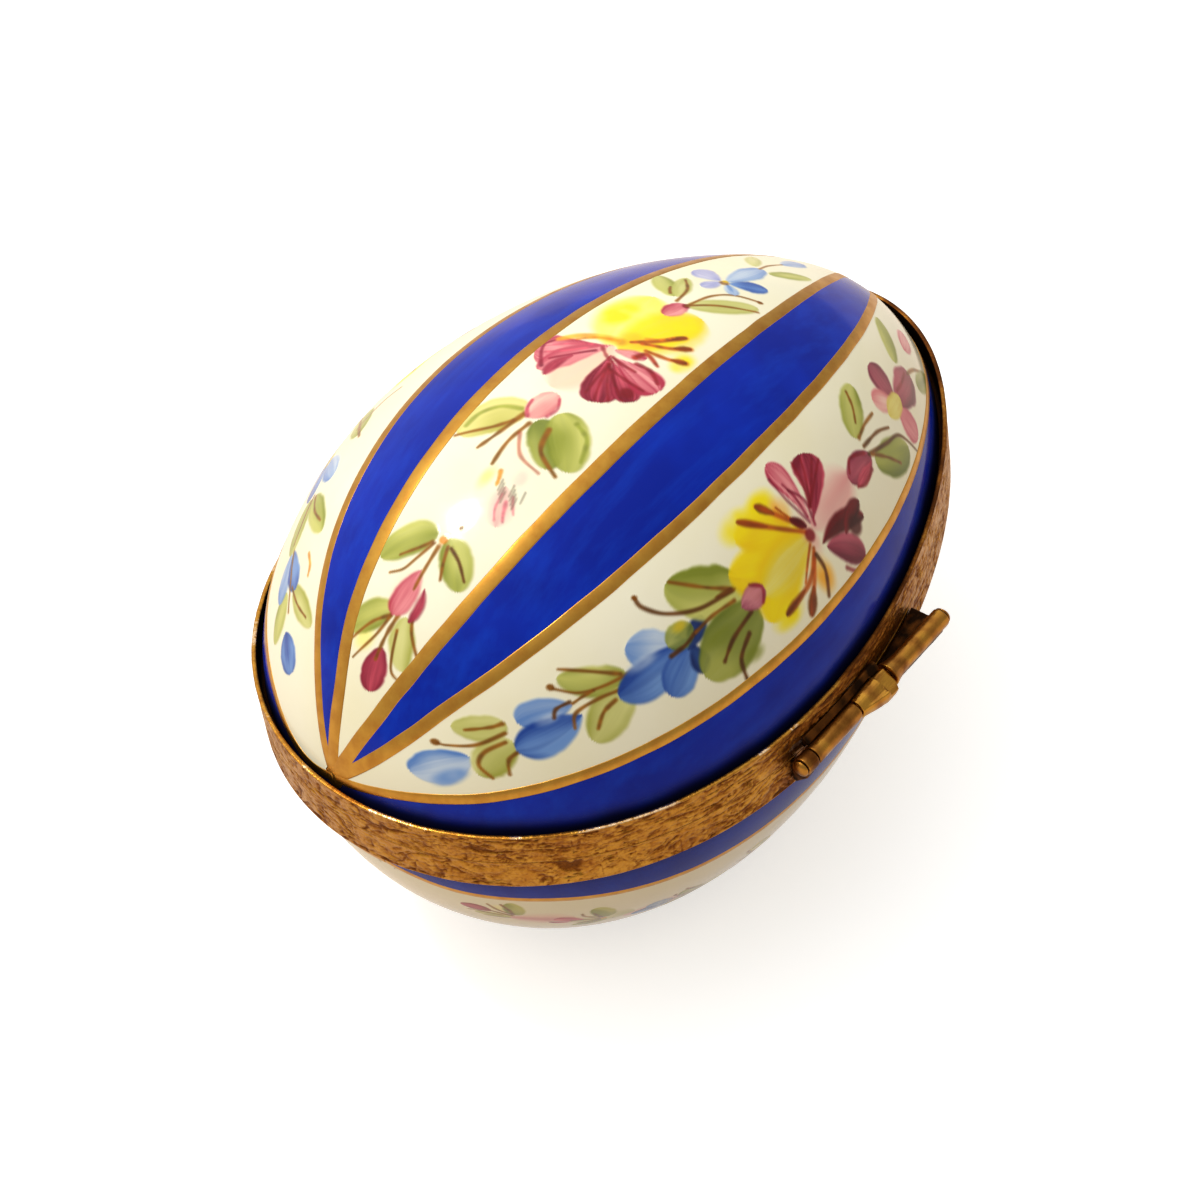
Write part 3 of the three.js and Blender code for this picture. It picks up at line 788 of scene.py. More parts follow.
def below_line(side, line, columns):
    """A grid from a painted line out to the porcelain's edge, straight away from the paint axis."""
    centre = (PAINT_NEAR[side][0] + PAINT_FAR[side][0]) / 2
    level = EDGE_Z[side] + FROM_SEAM[side] * EDGE_CLEAR
    height = (level - FOOT_DROP) / stretch(side)
    heading = np.arctan2(line[:, 1] - centre, line[:, 0])

    def place_at(length):
        return length * np.cos(heading), centre + length * np.sin(heading), height

    x, y, _ = where_rays_end(place_at, heading.shape)
    edge = np.stack([x, y, level + 0 * x], -1)
    share = np.linspace(0, 1, columns)[None, :, None]
    return onto(side, line[:, None] * (1 - share) + edge[:, None] * share)


def make_patch(name, side, grid, height, material, values=()):
    """A thin closed patch on the surface, with its top a little above the glaze below it."""
    out = normals(side, grid)
    height = np.broadcast_to(height, grid.shape[:2])
    middle = len(grid) // 2
    facing = np.cross(grid[middle + 1, 0] - grid[middle, 0], grid[middle, 1] - grid[middle, 0])
    if facing @ out[middle, 0] < 0:
        grid, out, height = grid[:, ::-1], out[:, ::-1], height[:, ::-1]
        values = [(key, value[:, ::-1], kind) for key, value, kind in values]
    rims = grid[:, [0, -1]] - out[:, [0, -1]] * PATCH_DEPTH
    points, faces = patch(grid + out * height[..., None], rims)
    piece = make_piece(name, points, faces, side, f"{side}_porcelain", material)
    for key, value, kind in values:
        add_values(piece, key, value, kind)


def make_gold(side, lines, widths):
    """All the gold lines of one half, each a low rounded ridge of slightly uneven width."""
    section = np.array(GOLD_SECTION)
    points, faces = [], []
    for number, (line, (near_width, far_width)) in enumerate(zip(lines, widths)):
        along = np.gradient(line, axis=0)
        along /= np.linalg.norm(along, axis=1, keepdims=True)
        out = normals(side, line)
        across = np.cross(out, along)
        run = lengths_along(line)
        narrow = GOLD_NARROW + (1 - GOLD_NARROW) * smooth(*GOLD_NARROW_RUN, run)
        even = 1 + GOLD_UNEVEN * (noise(run * 0.6, run * 0, number + 3) - 0.5)
        taper = smooth(*GOLD_TAPER, run / run[-1])
        width = (near_width + (far_width - near_width) * taper) * narrow * even
        shift = GOLD_WAVER * (noise(run * 0.4, run * 0, number + 40) - 0.5)
        tall = GOLD_HEIGHT + GOLD_STEP * number
        aside = width[:, None] * section[:, 0] + shift[:, None]
        ridge = (line[:, None] + across[:, None] * aside[..., None]
                 + out[:, None] * (tall * section[:, 1])[:, None])
        more, quads = swept(ridge)
        base = sum(len(part) for part in points)
        points.append(more)
        faces += [[corner + base for corner in quad] for quad in quads]
    make_piece(f"{side}_gold_lines", np.concatenate(points), faces, side, f"{side}_porcelain", GOLD)


def line_points(side, turn_at, swing):
    line = cast(side, swing, turn_at(swing))
    gap = (line[:, 2] - EDGE_Z[side]) * FROM_SEAM[side]
    return line[gap > 2 * EDGE_CLEAR]


def turn_for(side, angle, offset=0.0):
    return lambda swing: line_turn(side, swing, angle, offset)


LID_LINES = [(turn_for("lid", *left), turn_for("lid", *right)) for left, right in STRIPE_LINES]
LID_HINGE_LINE = turn_for("lid", *HINGE_LINE)
BASE_LINES = {"hinge": turn_for("base", BASE_LINE[0], BASE_LINE[1]),
              "front": turn_for("base", 180 - BASE_LINE[0], -BASE_LINE[1])}


def paint_lines():
    """The blue fields, which meet the white ones under the middle of the gold lines."""
    swing = swings("lid", 90.0, NEAR_SWING, math.pi - NEAR_SWING, LINE_ROWS)
    wide = swings("lid", 90.0, TIP_SWING, math.pi - TIP_SWING, LINE_ROWS)
    for number, (left, right) in enumerate(LID_LINES):
        grid = above_edge("lid", field("lid", wide, right(wide), left(wide), STRIPE_COLUMNS))
        make_patch(f"lid_blue_stripe_{number + 1}", "lid", grid, BLUE_HEIGHT, BLUE)
    lid_lines = [line_points("lid", turn_at, swing) for pair in LID_LINES for turn_at in pair]
    base_lines = [line_points("base", turn_at, swing) for turn_at in BASE_LINES.values()]
    front_and_hinge = [line_points("lid", turn_at, swing) for turn_at in (front_turn, LID_HINGE_LINE)]
    for side, lines in (("lid", front_and_hinge), ("base", base_lines)):
        for number, line in enumerate(lines):
            make_rim_field(side, number, line, lines[1 - number])
    make_gold("lid", lid_lines + front_and_hinge, LID_GOLD_WIDTHS)
    make_tip("lid")
    make_gold("base", base_lines, BASE_GOLD_WIDTHS)


def make_rim_field(side, number, line, other):
    """A blue field along the rim, darker with painted shade down in the groove; at the tip the first
    field reaches a little way under the second."""
    past = other[TIP_OVERLAP:0:-1] if number == 0 else other[:1]
    grid = below_line(side, np.concatenate([past, line]), RIM_FIELD_COLUMNS)
    deep = np.abs(grid[..., 2] - EDGE_Z[side])
    wave = noise(grid[..., 0] * 0.6 + 60, grid[..., 1] * 0.6 + 60, 8) - 0.5
    # Painted shade, deepest at the porcelain's edge down in the groove
    shade_and_grime = 1 - smooth(BLUE_SHADE_FROM[side], BLUE_SHADE_TO[side], deep + 0.25 * wave)
    make_patch(f"{side}_blue_{number + 1}", side, grid, BLUE_HEIGHT + number * LAYER_STEP, BLUE,
               [("shade_and_grime", shade_and_grime[..., None], "FLOAT")])


def make_tip(side):
    """The drop of gold where the lines run together at the blunt tip."""
    place = np.linspace(-1, 1, TIP_CELLS)
    first, second = place[:, None], place[None, :]
    wide, tall = first * np.sqrt(1 - second ** 2 / 2), second * np.sqrt(1 - first ** 2 / 2)
    swing = np.arctan(TIP_GOLD / TIP_X * np.hypot(wide, tall))
    grid = cast(side, swing, np.arctan2(tall, wide))
    make_patch(f"{side}_gold_tip", side, grid, GOLD_HEIGHT, GOLD)


def above_edge(side, grid):
    """The rows of a grid that stand clear of the porcelain's edge."""
    gap = (grid[..., 2] - EDGE_Z[side]) * FROM_SEAM[side]
    return grid[gap.min(1) > EDGE_CLEAR]


# The painted flowers. A panel's places are measured along its middle line from the blunt tip
# and across it, towards the hinge where they are positive.

class Panel:
    """A panel of white glaze, with a grid of places and the colour laid on each of them."""

    def __init__(self, side, middle, low_turn, high_turn, seed):
        swing = swings(side, middle, TIP_SWING, math.pi - TIP_SWING, PANEL_ROWS)
        self.side, self.seed = side, seed
        grid = field(side, swing, low_turn(swing), high_turn(swing), PANEL_COLUMNS)
        self.grid = above_edge(side, grid)
        x, run, reach = self.middle_line(middle)
        turn, _ = paint_frame(side, self.grid)
        away = (math.radians(middle) - turn + math.pi) % (2 * math.pi) - math.pi
        self.along = np.interp(-self.grid[..., 0], -x, run)
        self.across = away * np.interp(-self.grid[..., 0], -x, reach)
        self.paint = np.zeros(self.grid.shape)
        self.cover = np.zeros(self.grid.shape[:2])
        self.moved(0, 0)

    def middle_line(self, middle):
        """Places along the egg with the run of the middle line and its distance from the axis."""
        x = np.linspace(CHART_START, CHART_END, CHART_STEPS)
        radius = half_width(x)
        axis_y, axis_z = axis_at(self.side, x)
        out_y, out_z = math.cos(math.radians(middle)), math.sin(math.radians(middle))
        half = axis_y * out_y + axis_z * out_z
        gone = axis_y ** 2 + axis_z ** 2 - radius ** 2
        reach = -half + np.sqrt(np.maximum(half ** 2 - gone, 0))
        line = surface(self.side, x, np.arctan2(axis_z + reach * out_z, axis_y + reach * out_y))
        return x, lengths_along(line), reach

    def moved(self, along, across, flip=1, size=1.0):
        """Sets where the next strokes go: moved, flipped across the panel or made smaller."""
        self.place, self.flip, self.size = np.array([along, across]), flip, size
        return self

    def put(self, points):
        return self.place + np.asarray(points, float) * [self.size, self.size * self.flip]

    def near(self, line, reach):
        """The places near a line, how far along it they are and how far beside it."""
        low, high = line.min(0) - reach, line.max(0) + reach
        inside = ((self.along > low[0]) & (self.along < high[0])
                  & (self.across > low[1]) & (self.across < high[1]))
        spots = np.stack([self.along[inside], self.across[inside]], -1)
        way = np.diff(line, axis=0)
        gap = spots[:, None] - line[None, :-1]
        share = np.clip((gap * way).sum(-1) / (way ** 2).sum(-1), 0, 1)
        off = gap - share[..., None] * way
        distance = np.hypot(off[..., 0], off[..., 1])
        best = distance.argmin(1)
        pick = np.arange(len(spots)), best
        turned = way[best, 0] * off[pick][:, 1] - way[best, 1] * off[pick][:, 0]
        return inside, (best + share[pick]) / len(way), np.sign(turned) * distance[pick] * self.flip

    def lay(self, inside, colour, strength):
        strength = np.clip(strength, 0, 1)
        self.paint[inside] += (colour - self.paint[inside]) * strength[:, None]
        self.cover[inside] += (1 - self.cover[inside]) * strength

    def next_seed(self):
        self.seed += 7
        return self.seed

    def stroke(self, kind, colours, m0, v0, m1, v1, width, bend=0.0, lean=0.0, solid=1.0):
        """A brush mark from its root to its tip; it leans where one side is darker."""
        brush = BRUSHES[kind]
        share = np.linspace(0, 1, STROKE_STEPS)[:, None]
        root, tip = self.put((m0, v0)), self.put((m1, v1))
        way = tip - root
        side = np.array([-way[1], way[0]]) * self.flip
        line = root + way * share + side * 4 * bend * share * (1 - share)
        width = width * self.size
        seed = self.next_seed()
        inside, along, aside = self.near(line, width / 2 + 0.4)
        still = along * 0
        wave = noise(along * 5, still, seed) - 0.5 + 0.5 * (noise(along * 13, still, seed + 1) - 0.5)
        half = width / 2 * np.sin(math.pi * along ** brush.widest) ** brush.blunt
        half = np.maximum(half * (1 + 0.1 * wave), 1e-3)
        spread = aside / half
        hairs = (0.6 * noise(spread * 4 + 8, along * 1.4, seed + 2)
                 + 0.4 * noise(spread * 11 + 20, along * 2, seed + 3))
        pools = noise(spread * 1.3 + 3, along * 2.2, seed + 4)
        dark = (0.28 + brush.streak * (hairs - 0.5) * 1.6 + 0.75 * (pools - 0.5)
                + brush.tip * along ** 3 + brush.root * (1 - along) ** 4
                + brush.edge * smooth(0.45, 1.0, np.abs(spread)) + lean * spread)
        light, deep = shown(colours[0]), shown(colours[1])
        colour = light + (deep - light) * np.clip(dark, 0, 1)[:, None]
        soft = brush.soft * self.size / np.maximum(half, brush.soft * self.size)
        body = 1 - smooth(1 - soft, 1 + 0.4 * soft, np.abs(spread))
        dry = 1 - (1 - brush.solid) * 1.6 * hairs
        self.lay(inside, colour, body * dry * solid)

    def line(self, colour, width, *points, solid=0.85, taper=0.45):
        """A thin brush line through some points, thinner towards its end."""
        knots = self.put(points)
        knots = np.concatenate([knots[:1], knots, knots[-1:]])
        step = np.linspace(0, 1, 8, endpoint=False)[:, None]
        parts = [(2 * b + (c - a) * step + (2 * a - 5 * b + 4 * c - d) * step ** 2
                  + (3 * b - a - 3 * c + d) * step ** 3) / 2
                 for a, b, c, d in zip(knots, knots[1:], knots[2:], knots[3:])]
        line = np.concatenate(parts + [knots[-1:]])
        seed = self.next_seed()
        width = width * self.size
        inside, along, aside = self.near(line, width + 0.2)
        press = 1 - taper * along + 0.5 * (noise(along * 6, along * 0, seed) - 0.5)
        half = width / 2 * press
        body = 1 - smooth(half * 0.25, half + 0.13, np.abs(aside))
        tone = shown(colour) * (0.85 + 0.35 * noise(along * 9, along * 0, seed + 1))[:, None]
        self.lay(inside, tone, body * solid)

    def spot(self, colour, m, v, radius, solid=0.9):
        centre = self.put((m, v))
        away = np.hypot(self.along - centre[0], self.across - centre[1]) / (radius * self.size)
        inside = away < 1.3
        self.lay(inside, shown(colour), (1 - smooth(0.6, 1.25, away[inside])) * solid)

    def wash(self, colour, m, v, long, wide, solid=0.5):
        """A thin cloud of colour."""
        centre = self.put((m, v))
        away = np.hypot((self.along - centre[0]) / long, (self.across - centre[1]) / wide) / self.size
        inside = away < 1.2
        cloud = noise(self.along[inside] * 1.1 + 50, self.across[inside] * 1.1 + 50, self.next_seed())
        thin = 1 - smooth(0.25, 1.1, away[inside])
        self.lay(inside, shown(colour), thin * (0.55 + 0.9 * cloud) * solid)

    def finish(self, name):
        height = GLAZE_HEIGHT + ENAMEL_HEIGHT * self.cover
        left = 1 - self.cover[..., None]
        white = shown(GLAZE_WHITE)
        covered = 1 - left ** SCREEN_POWER
        paint = linear(255 * (white * left + self.paint)) - linear(GLAZE_WHITE) * (1 - covered)
        make_patch(name, self.side, self.grid, height, PORCELAIN,
                   [("paint", np.maximum(paint, 0), "FLOAT_COLOR"), ("cover", covered, "FLOAT")])


def bud_and_leaves(p):
    p.wash(LEMON_PALE[0], 12.5, -1.5, 1.3, 1.2, 0.5)
    p.stroke("leaf", GREEN, 15.4, -0.2, 12.7, -3.3, 2.7, 0.06, -0.4)
    p.stroke("leaf", GREEN_PALE, 15.2, 1.0, 11.4, 2.5, 2.2, 0.05, -0.2)
    p.stroke("bud", MAGENTA, 12.3, 0.3, 8.7, 0.8, 2.3, 0.04, 0.1)
    p.line(VEIN, 0.34, (14.8, -0.3), (13.8, -1.5), (12.2, -2.6))
    p.line(VEIN, 0.24, (14.9, -0.2), (12.9, -0.7), (10.8, -1.8))
    p.line(VEIN, 0.36, (15.0, 0.3), (13.2, 0.15), (11.3, 0.2))
    p.line(VEIN, 0.16, (14.0, 0.8), (11.2, 1.6), (10.6, 2.4))
    p.line(VEIN, 0.24, (15.2, 1.5), (14.2, 2.0), (13.0, 3.0))


def rose_and_leaves(p):
    p.wash(PEACH[0], 17.0, -0.2, 2.1, 1.3, 0.7)
    p.stroke("petal", PINK, 18.8, 0.1, 14.9, -0.1, 2.2, 0.0, 0.35)
    p.stroke("petal", MAGENTA, 17.7, 1.1, 14.9, 1.3, 0.9, -0.1)
    p.stroke("leaf", GREEN, 21.8, -0.4, 18.5, -3.7, 2.9, 0.08, -0.4)
    p.stroke("leaf", GREEN, 21.8, 0.6, 18.7, 3.4, 2.6, -0.06, 0.3)
    p.line(VEIN, 0.26, (21.0, -0.4), (20.2, -1.1), (19.2, -2.2))
    p.line(VEIN, 0.2, (21.0, -0.2), (19.4, -0.8), (18.3, -1.3), (17.7, -2.2))
    p.line(VEIN, 0.3, (20.9, 0.25), (19.0, 0.3), (17.3, 0.4))
    p.line(VEIN, 0.24, (21.2, 0.9), (20.0, 1.3), (18.8, 1.8))
    p.line(VEIN_DARK, 0.22, (21.2, 1.2), (20.6, 2.3), (19.6, 3.4))
    p.spot(ORANGE[1], 21.5, 0.3, 0.38, 0.7)
    p.spot(VEIN, 22.9, 0.9, 0.14)


def scratched_bud(p):
    """A bud whose enamel is worn away in fine scratches."""
    p.wash(LEMON_PALE[0], 27.2, 0.0, 1.4, 0.7, 0.45)
    p.wash(PINK_PALE[0], 28.3, 2.2, 1.0, 0.7, 0.4)
    p.stroke("haze", PINK, 27.2, 1.7, 24.2, 3.0, 2.1, 0.0, 0.0, 0.45)
    p.line(MAGENTA[0], 0.3, (26.2, 2.5), (25.3, 2.9), (24.8, 3.2), solid=0.6)
    p.line(MAGENTA[0], 0.16, (26.6, 1.9), (25.4, 2.1), (24.6, 2.6), solid=0.5)
    p.line(MAGENTA[0], 0.16, (26.8, 2.7), (26.2, 3.1), (25.7, 3.5), solid=0.5)
    for number in range(9):
        along, across = 27.6 - 0.25 * (number % 4), 1.2 + 0.25 * number
        p.line(SCRATCH, 0.07, (along, across), (along - 0.9, across + 0.2), solid=0.45)
    p.line(ORANGE[1], 0.36, (28.1, 0.6), (27.6, 0.85), (27.0, 1.05), solid=0.7)


def pale_bud_spray(p):
    p.stroke("leaf", GREEN_YELLOW, 33.7, -1.1, 29.4, -4.5, 3.7, 0.12, -0.3, 0.9)
    p.line(GREEN[1], 0.5, (33.5, -1.7), (33.0, -3.3), (31.8, -4.4), (30.4, -4.6), solid=0.6, taper=0.2)
    p.stroke("leaf", GREEN_DEEP, 33.1, 0.0, 30.0, 3.3, 3.0, -0.08, -0.1)
    p.stroke("leaf", GREEN, 34.6, 1.0, 30.7, 4.6, 3.6, -0.06, 0.3)
    p.line(GREEN[1], 0.36, (34.5, 2.6), (33.8, 4.0), (32.0, 4.8), solid=0.6, taper=0.2)
    p.line(VEIN, 0.4, (32.6, -0.3), (30.5, -0.6), (28.3, -0.35))
    p.line(RUST, 0.3, (31.5, -0.3), (29.9, 1.0), (29.4, 3.0), solid=0.5)
    p.line(VEIN, 0.36, (32.3, -1.5), (31.0, -2.6), (29.3, -4.8))
    p.line(VEIN, 0.46, (33.3, -1.2), (31.0, -1.7), (29.0, -2.3))
    p.line(VEIN, 0.44, (32.9, 1.3), (31.0, 2.0), (29.9, 4.1))
    p.stroke("bud", PINK_PALE, 33.0, -0.8, 36.1, -0.4, 2.4, 0.0, 0.35)
    p.line(PINK[1], 0.34, (33.1, -0.9), (33.8, -1.4), (34.6, -1.6), solid=0.7)
    p.line(PINK[1], 0.24, (33.8, 0.4), (34.8, 0.6), (35.7, 0.1), solid=0.6)


def stamens(p, *lines):
    """Thin threads, each with a club at its end."""
    for root, bow, tip, club in lines:
        p.line(STAMEN, 0.36, root, bow, tip, taper=-0.4)
        back = (bow[0] * 0.8 + tip[0] * 0.2, bow[1] * 0.8 + tip[1] * 0.2)
        p.stroke("petal", (STAMEN, VEIN_DARK), *back, tip[0] + 0.1 * (tip[0] - back[0]),
                 tip[1] + 0.1 * (tip[1] - back[1]), club)


def great_flower_top(p):
    p.stroke("haze", LEMON_PALE, 42.6, -0.8, 50.6, -2.2, 6.4, 0.0, 0.0)
    p.wash(LEMON[0], 46.8, -2.7, 2.4, 1.6, 0.9)
    p.stroke("haze", LEMON, 42.6, 0.3, 50.6, 2.3, 5.2, 0.0, 0.1)
    p.wash(LEMON[0], 48.6, 2.0, 2.2, 1.6, 0.9)
    p.wash(LEMON[0], 45.0, 4.4, 1.6, 1.0, 0.8)
    p.wash(ORANGE[0], 44.4, 0.6, 1.2, 1.6, 0.5)
    p.stroke("haze", PEACH, 42.9, -0.4, 36.4, -1.2, 4.6, 0.0, 0.0)
    p.stroke("fan", PINK, 42.9, -0.4, 39.4, -5.3, 3.9, -0.05, 0.1)
    p.stroke("petal", PINK, 42.5, -0.6, 37.5, -3.5, 2.4, 0.06, 0.2)
    p.stroke("petal", MAGENTA, 40.2, -2.1, 37.2, -2.6, 1.1, 0.1, 0.1)
    p.line(MAGENTA[1], 0.34, (38.0, -3.5), (38.8, -4.2), (39.6, -4.8), (40.4, -5.1), (41.1, -4.7),
           solid=0.7)
    p.line(MAGENTA[1], 0.26, (41.6, -1.1), (40.4, -2.2), (39.0, -3.5), solid=0.7)
    p.line(MAGENTA[0], 0.3, (42.2, -1.6), (41.4, -3.0), (40.6, -4.4), solid=0.6)
    p.line(MAGENTA[0], 0.22, (42.0, -1.3), (40.4, -3.0), (39.5, -4.4), solid=0.6)
    p.line(ORANGE[0], 1.0, (43.6, -0.2), (43.2, -1.9), (42.4, -3.4), (41.4, -4.5), solid=0.8)
    p.line(ORANGE[1], 0.3, (43.6, -0.5), (43.0, -2.0), (42.0, -3.2), solid=0.6)
    p.stroke("fan", MAGENTA, 42.0, 0.1, 37.1, 2.5, 3.0, 0.04, 0.3)
    p.stroke("fan", MAGENTA, 41.6, 0.3, 38.7, 4.2, 2.3, 0.0, 0.3)
    p.stroke("fan", PINK, 41.8, 0.1, 41.0, 5.0, 3.1, 0.0, 0.15)
    for end in ((37.4, 1.2), (37.2, 2.1), (37.7, 3.0), (38.4, 3.7)):
        p.line(MAROON[0], 0.22, (40.9, 0.7), (end[0] * 0.5 + 20.3, end[1] * 0.5 + 0.35), end, solid=0.55)
    p.spot(MAROON[0], 39.3, 3.5, 0.55, 0.75)
    p.line(MAROON[0], 0.36, (41.7, 0.4), (41.5, 1.4), (41.5, 2.6), solid=0.6)
    p.line(MAROON[0], 0.5, (42.3, 2.2), (42.4, 3.3), (41.7, 4.5), solid=0.7)
    p.line(MAROON[0], 0.3, (40.5, 1.2), (40.3, 2.6), (40.3, 4.2), solid=0.6)
    p.line(MAROON[0], 0.3, (42.2, -0.9), (41.6, -0.1), (41.2, 0.7), solid=0.6)
    p.stroke("petal", PINK, 42.5, 0.0, 43.3, 2.4, 1.2, 0.0, 0.2)
    p.line(RUST, 0.55, (42.8, 1.7), (43.7, 2.1), (43.2, 3.4))
    stamens(p, ((44.1, 0.4), (45.5, 1.7), (47.5, 2.9), 0.6),
            ((44.5, 1.1), (45.5, 2.8), (46.7, 3.9), 0.75),
            ((44.0, 1.8), (44.4, 3.4), (45.1, 4.6), 0.75))
    p.line(ORANGE[1], 0.3, (45.2, 1.0), (46.0, 1.9), (46.9, 2.3), solid=0.6)


def blue_spray_far(p):
    p.stroke("bud", PINK, 51.4, 0.3, 48.8, 0.0, 1.8, 0.0, 0.15)
    p.spot(MAROON[0], 51.2, 0.5, 0.36, 0.8)
    p.stroke("leaf", GREEN, 51.8, -1.1, 54.3, -4.7, 2.0, 0.0, 0.3)
    p.stroke("leaf", GREEN_PALE, 51.9, -0.9, 55.4, -2.4, 1.8, 0.0, -0.3)
    p.stroke("leaf", GREEN_PALE, 51.3, 0.5, 55.9, 3.9, 2.1, 0.02, 0.1)
    p.line(VEIN, 0.26, (52.0, -1.6), (52.5, -2.0), (53.0, -2.3))
    p.line(VEIN, 0.3, (51.3, -0.5), (53.5, -1.0), (55.0, -2.2))
    p.line(VEIN, 0.24, (51.3, 0.5), (53.2, 1.9), (55.4, 4.2))
    p.line(VEIN, 0.24, (51.2, 0.5), (54.0, 0.8), (55.8, 1.8), (56.9, 3.6))
    p.spot(VEIN, 56.8, 3.5, 0.24)
    p.stroke("petal", LAVENDER, 57.1, -0.2, 57.4, -3.0, 2.2, 0.0, 0.1)
    p.stroke("petal", LAVENDER, 57.0, 0.0, 54.9, -0.6, 1.3)
    p.stroke("petal", SKY, 57.3, 0.2, 62.6, 0.4, 2.2, 0.0, 0.2)
    p.stroke("petal", SKY_DEEP, 57.2, 0.5, 59.2, 2.8, 1.9, 0.0, 0.1)
    p.stroke("petal", SKY, 57.0, 0.4, 55.9, 1.9, 1.2)
    p.spot(VEIN, 57.0, 0.2, 0.42, 0.7)
    p.spot(LEMON[1], 57.3, 0.1, 0.25, 0.7)
    p.stroke("leaf", GREEN_PALE, 62.6, -0.4, 65.6, -2.4, 1.5, 0.0, 0.2)
    p.stroke("leaf", GREEN, 62.2, 1.2, 65.6, 3.0, 1.4, 0.0, -0.2)
    p.stroke("petal", SKY, 65.6, 0.4, 69.0, 0.7, 1.8, 0.0, 0.2)
    p.line(VEIN, 0.2, (62.4, 0.2), (64.0, 0.1), (65.8, 0.4))


def berry_spray(p):
    p.stroke("bud", SKY, 12.0, 0.1, 7.1, -0.1, 2.9, 0.0, 0.6)
    p.wash(SKY_DEEP[0], 9.6, 0.9, 1.9, 0.7, 0.8)
    p.stroke("leaf", GREEN_PALE, 15.9, -1.2, 12.6, -2.6, 2.4, -0.08, -0.3)
    p.stroke("leaf", GREEN_PALE, 15.5, 0.3, 11.7, 1.4, 2.7, 0.05, -0.3)
    p.spot(VEIN, 10.7, -1.8, 0.34)
    p.line(VEIN, 0.24, (15.4, -0.6), (13.0, -0.6), (11.2, -1.3), (10.8, -1.7))
    p.line(VEIN, 0.32, (15.7, -1.3), (14.8, -1.4), (13.2, -1.9))
    p.line(VEIN, 0.3, (15.0, 0.0), (13.2, 0.1), (12.2, 0.8), (12.5, 1.9))
    p.line(VEIN, 0.32, (15.7, 0.9), (14.4, 1.2), (13.8, 2.1))


def blue_bell(p):
    p.stroke("petal", SKY, 20.6, -0.3, 16.6, -1.0, 2.5, 0.05, -0.1)
    p.stroke("petal", SKY_DEEP, 20.8, 0.6, 15.3, 0.7, 2.8, -0.04, 0.5)
    p.wash(SKY[0], 18.6, -0.2, 1.2, 0.5, 0.6)
    p.line(VEIN_DARK, 0.26, (20.6, -0.6), (19.5, -0.6), (19.0, -0.1))
    p.stroke("leaf", GREEN, 25.2, -0.3, 21.0, -2.6, 2.6, -0.1, -0.25)
    p.stroke("leaf", GREEN_PALE, 24.6, 0.5, 20.4, 2.6, 3.2, 0.0, 0.3)
    p.spot(VEIN, 20.2, -2.2, 0.3)
    p.line(VEIN, 0.3, (25.6, -0.2), (23.3, -0.4), (21.5, -0.9), (20.3, -2.0))
    p.line(VEIN, 0.22, (22.5, -0.5), (21.6, -0.5), (20.7, -0.4))
    p.line(VEIN, 0.34, (24.8, -0.5), (23.3, -1.7), (21.5, -3.1))
    p.line(VEIN, 0.3, (23.4, 0.9), (22.2, 1.2), (21.2, 2.0))
    p.line(VEIN, 0.28, (24.3, 0.5), (22.5, 0.2), (20.5, 0.3), (19.8, 1.2))


def blue_flower(p):
    p.stroke("petal", SKY, 30.3, 0.3, 26.3, -2.0, 3.2, -0.1, -0.2)
    p.stroke("petal", SKY_DEEP, 30.4, 0.2, 23.7, 0.8, 3.0, -0.06, 0.7)
    p.wash(SKY[0], 26.6, -0.3, 1.8, 0.6, 0.6)
    p.stroke("petal", SKY_DEEP, 30.6, 0.8, 27.0, 2.9, 2.8, 0.02, 0.5)
    p.stroke("petal", NAVY, 30.4, 0.7, 30.2, 3.0, 1.7)
    p.stroke("petal", NAVY, 29.9, 0.9, 32.4, -0.5, 1.5, 0.0, 0.1)
    p.stroke("bud", GREEN_DEEP, 31.3, -0.5, 28.8, -0.2, 2.2, 0.0, -0.4, 0.9)
    p.wash(LEMON[1], 30.4, -0.9, 0.8, 0.5, 0.6)
    p.line(VEIN_DARK, 0.32, (28.6, 0.5), (30.0, 0.45), (31.3, 0.1))


def plum_bud_spray(p):
    p.stroke("leaf", GREEN, 36.6, -0.5, 31.5, -3.9, 4.5, -0.12, 0.55)
    p.stroke("leaf", GREEN_DEEP, 36.6, 1.8, 30.0, 3.3, 4.5, 0.03, 0.3)
    p.wash(GREEN[1], 32.6, 1.6, 1.8, 0.7, 0.8)
    p.wash(GREEN[1], 34.4, 4.2, 1.2, 0.7, 0.7)
    p.line(VEIN, 0.34, (35.4, -0.7), (33.8, -2.0), (31.9, -3.9))
    p.line(VEIN_DARK, 0.36, (35.6, -0.5), (32.5, -1.0), (30.2, -2.2), (29.1, -3.6), (29.1, -4.5),
           taper=0.3)
    p.spot(VEIN, 29.1, -4.5, 0.24)
    p.stroke("petal", (VEIN, VEIN_DARK), 34.0, -0.9, 35.9, -0.4, 0.55)
    p.line(VEIN, 0.26, (35.2, 0.2), (33.0, 0.0), (31.2, 0.2))
    p.line(VEIN_DARK, 0.38, (35.9, 1.7), (33.5, 2.3), (31.9, 3.2))
    p.line(VEIN_DARK, 0.4, (34.8, 2.8), (33.2, 3.8), (32.8, 5.2), taper=0.2)


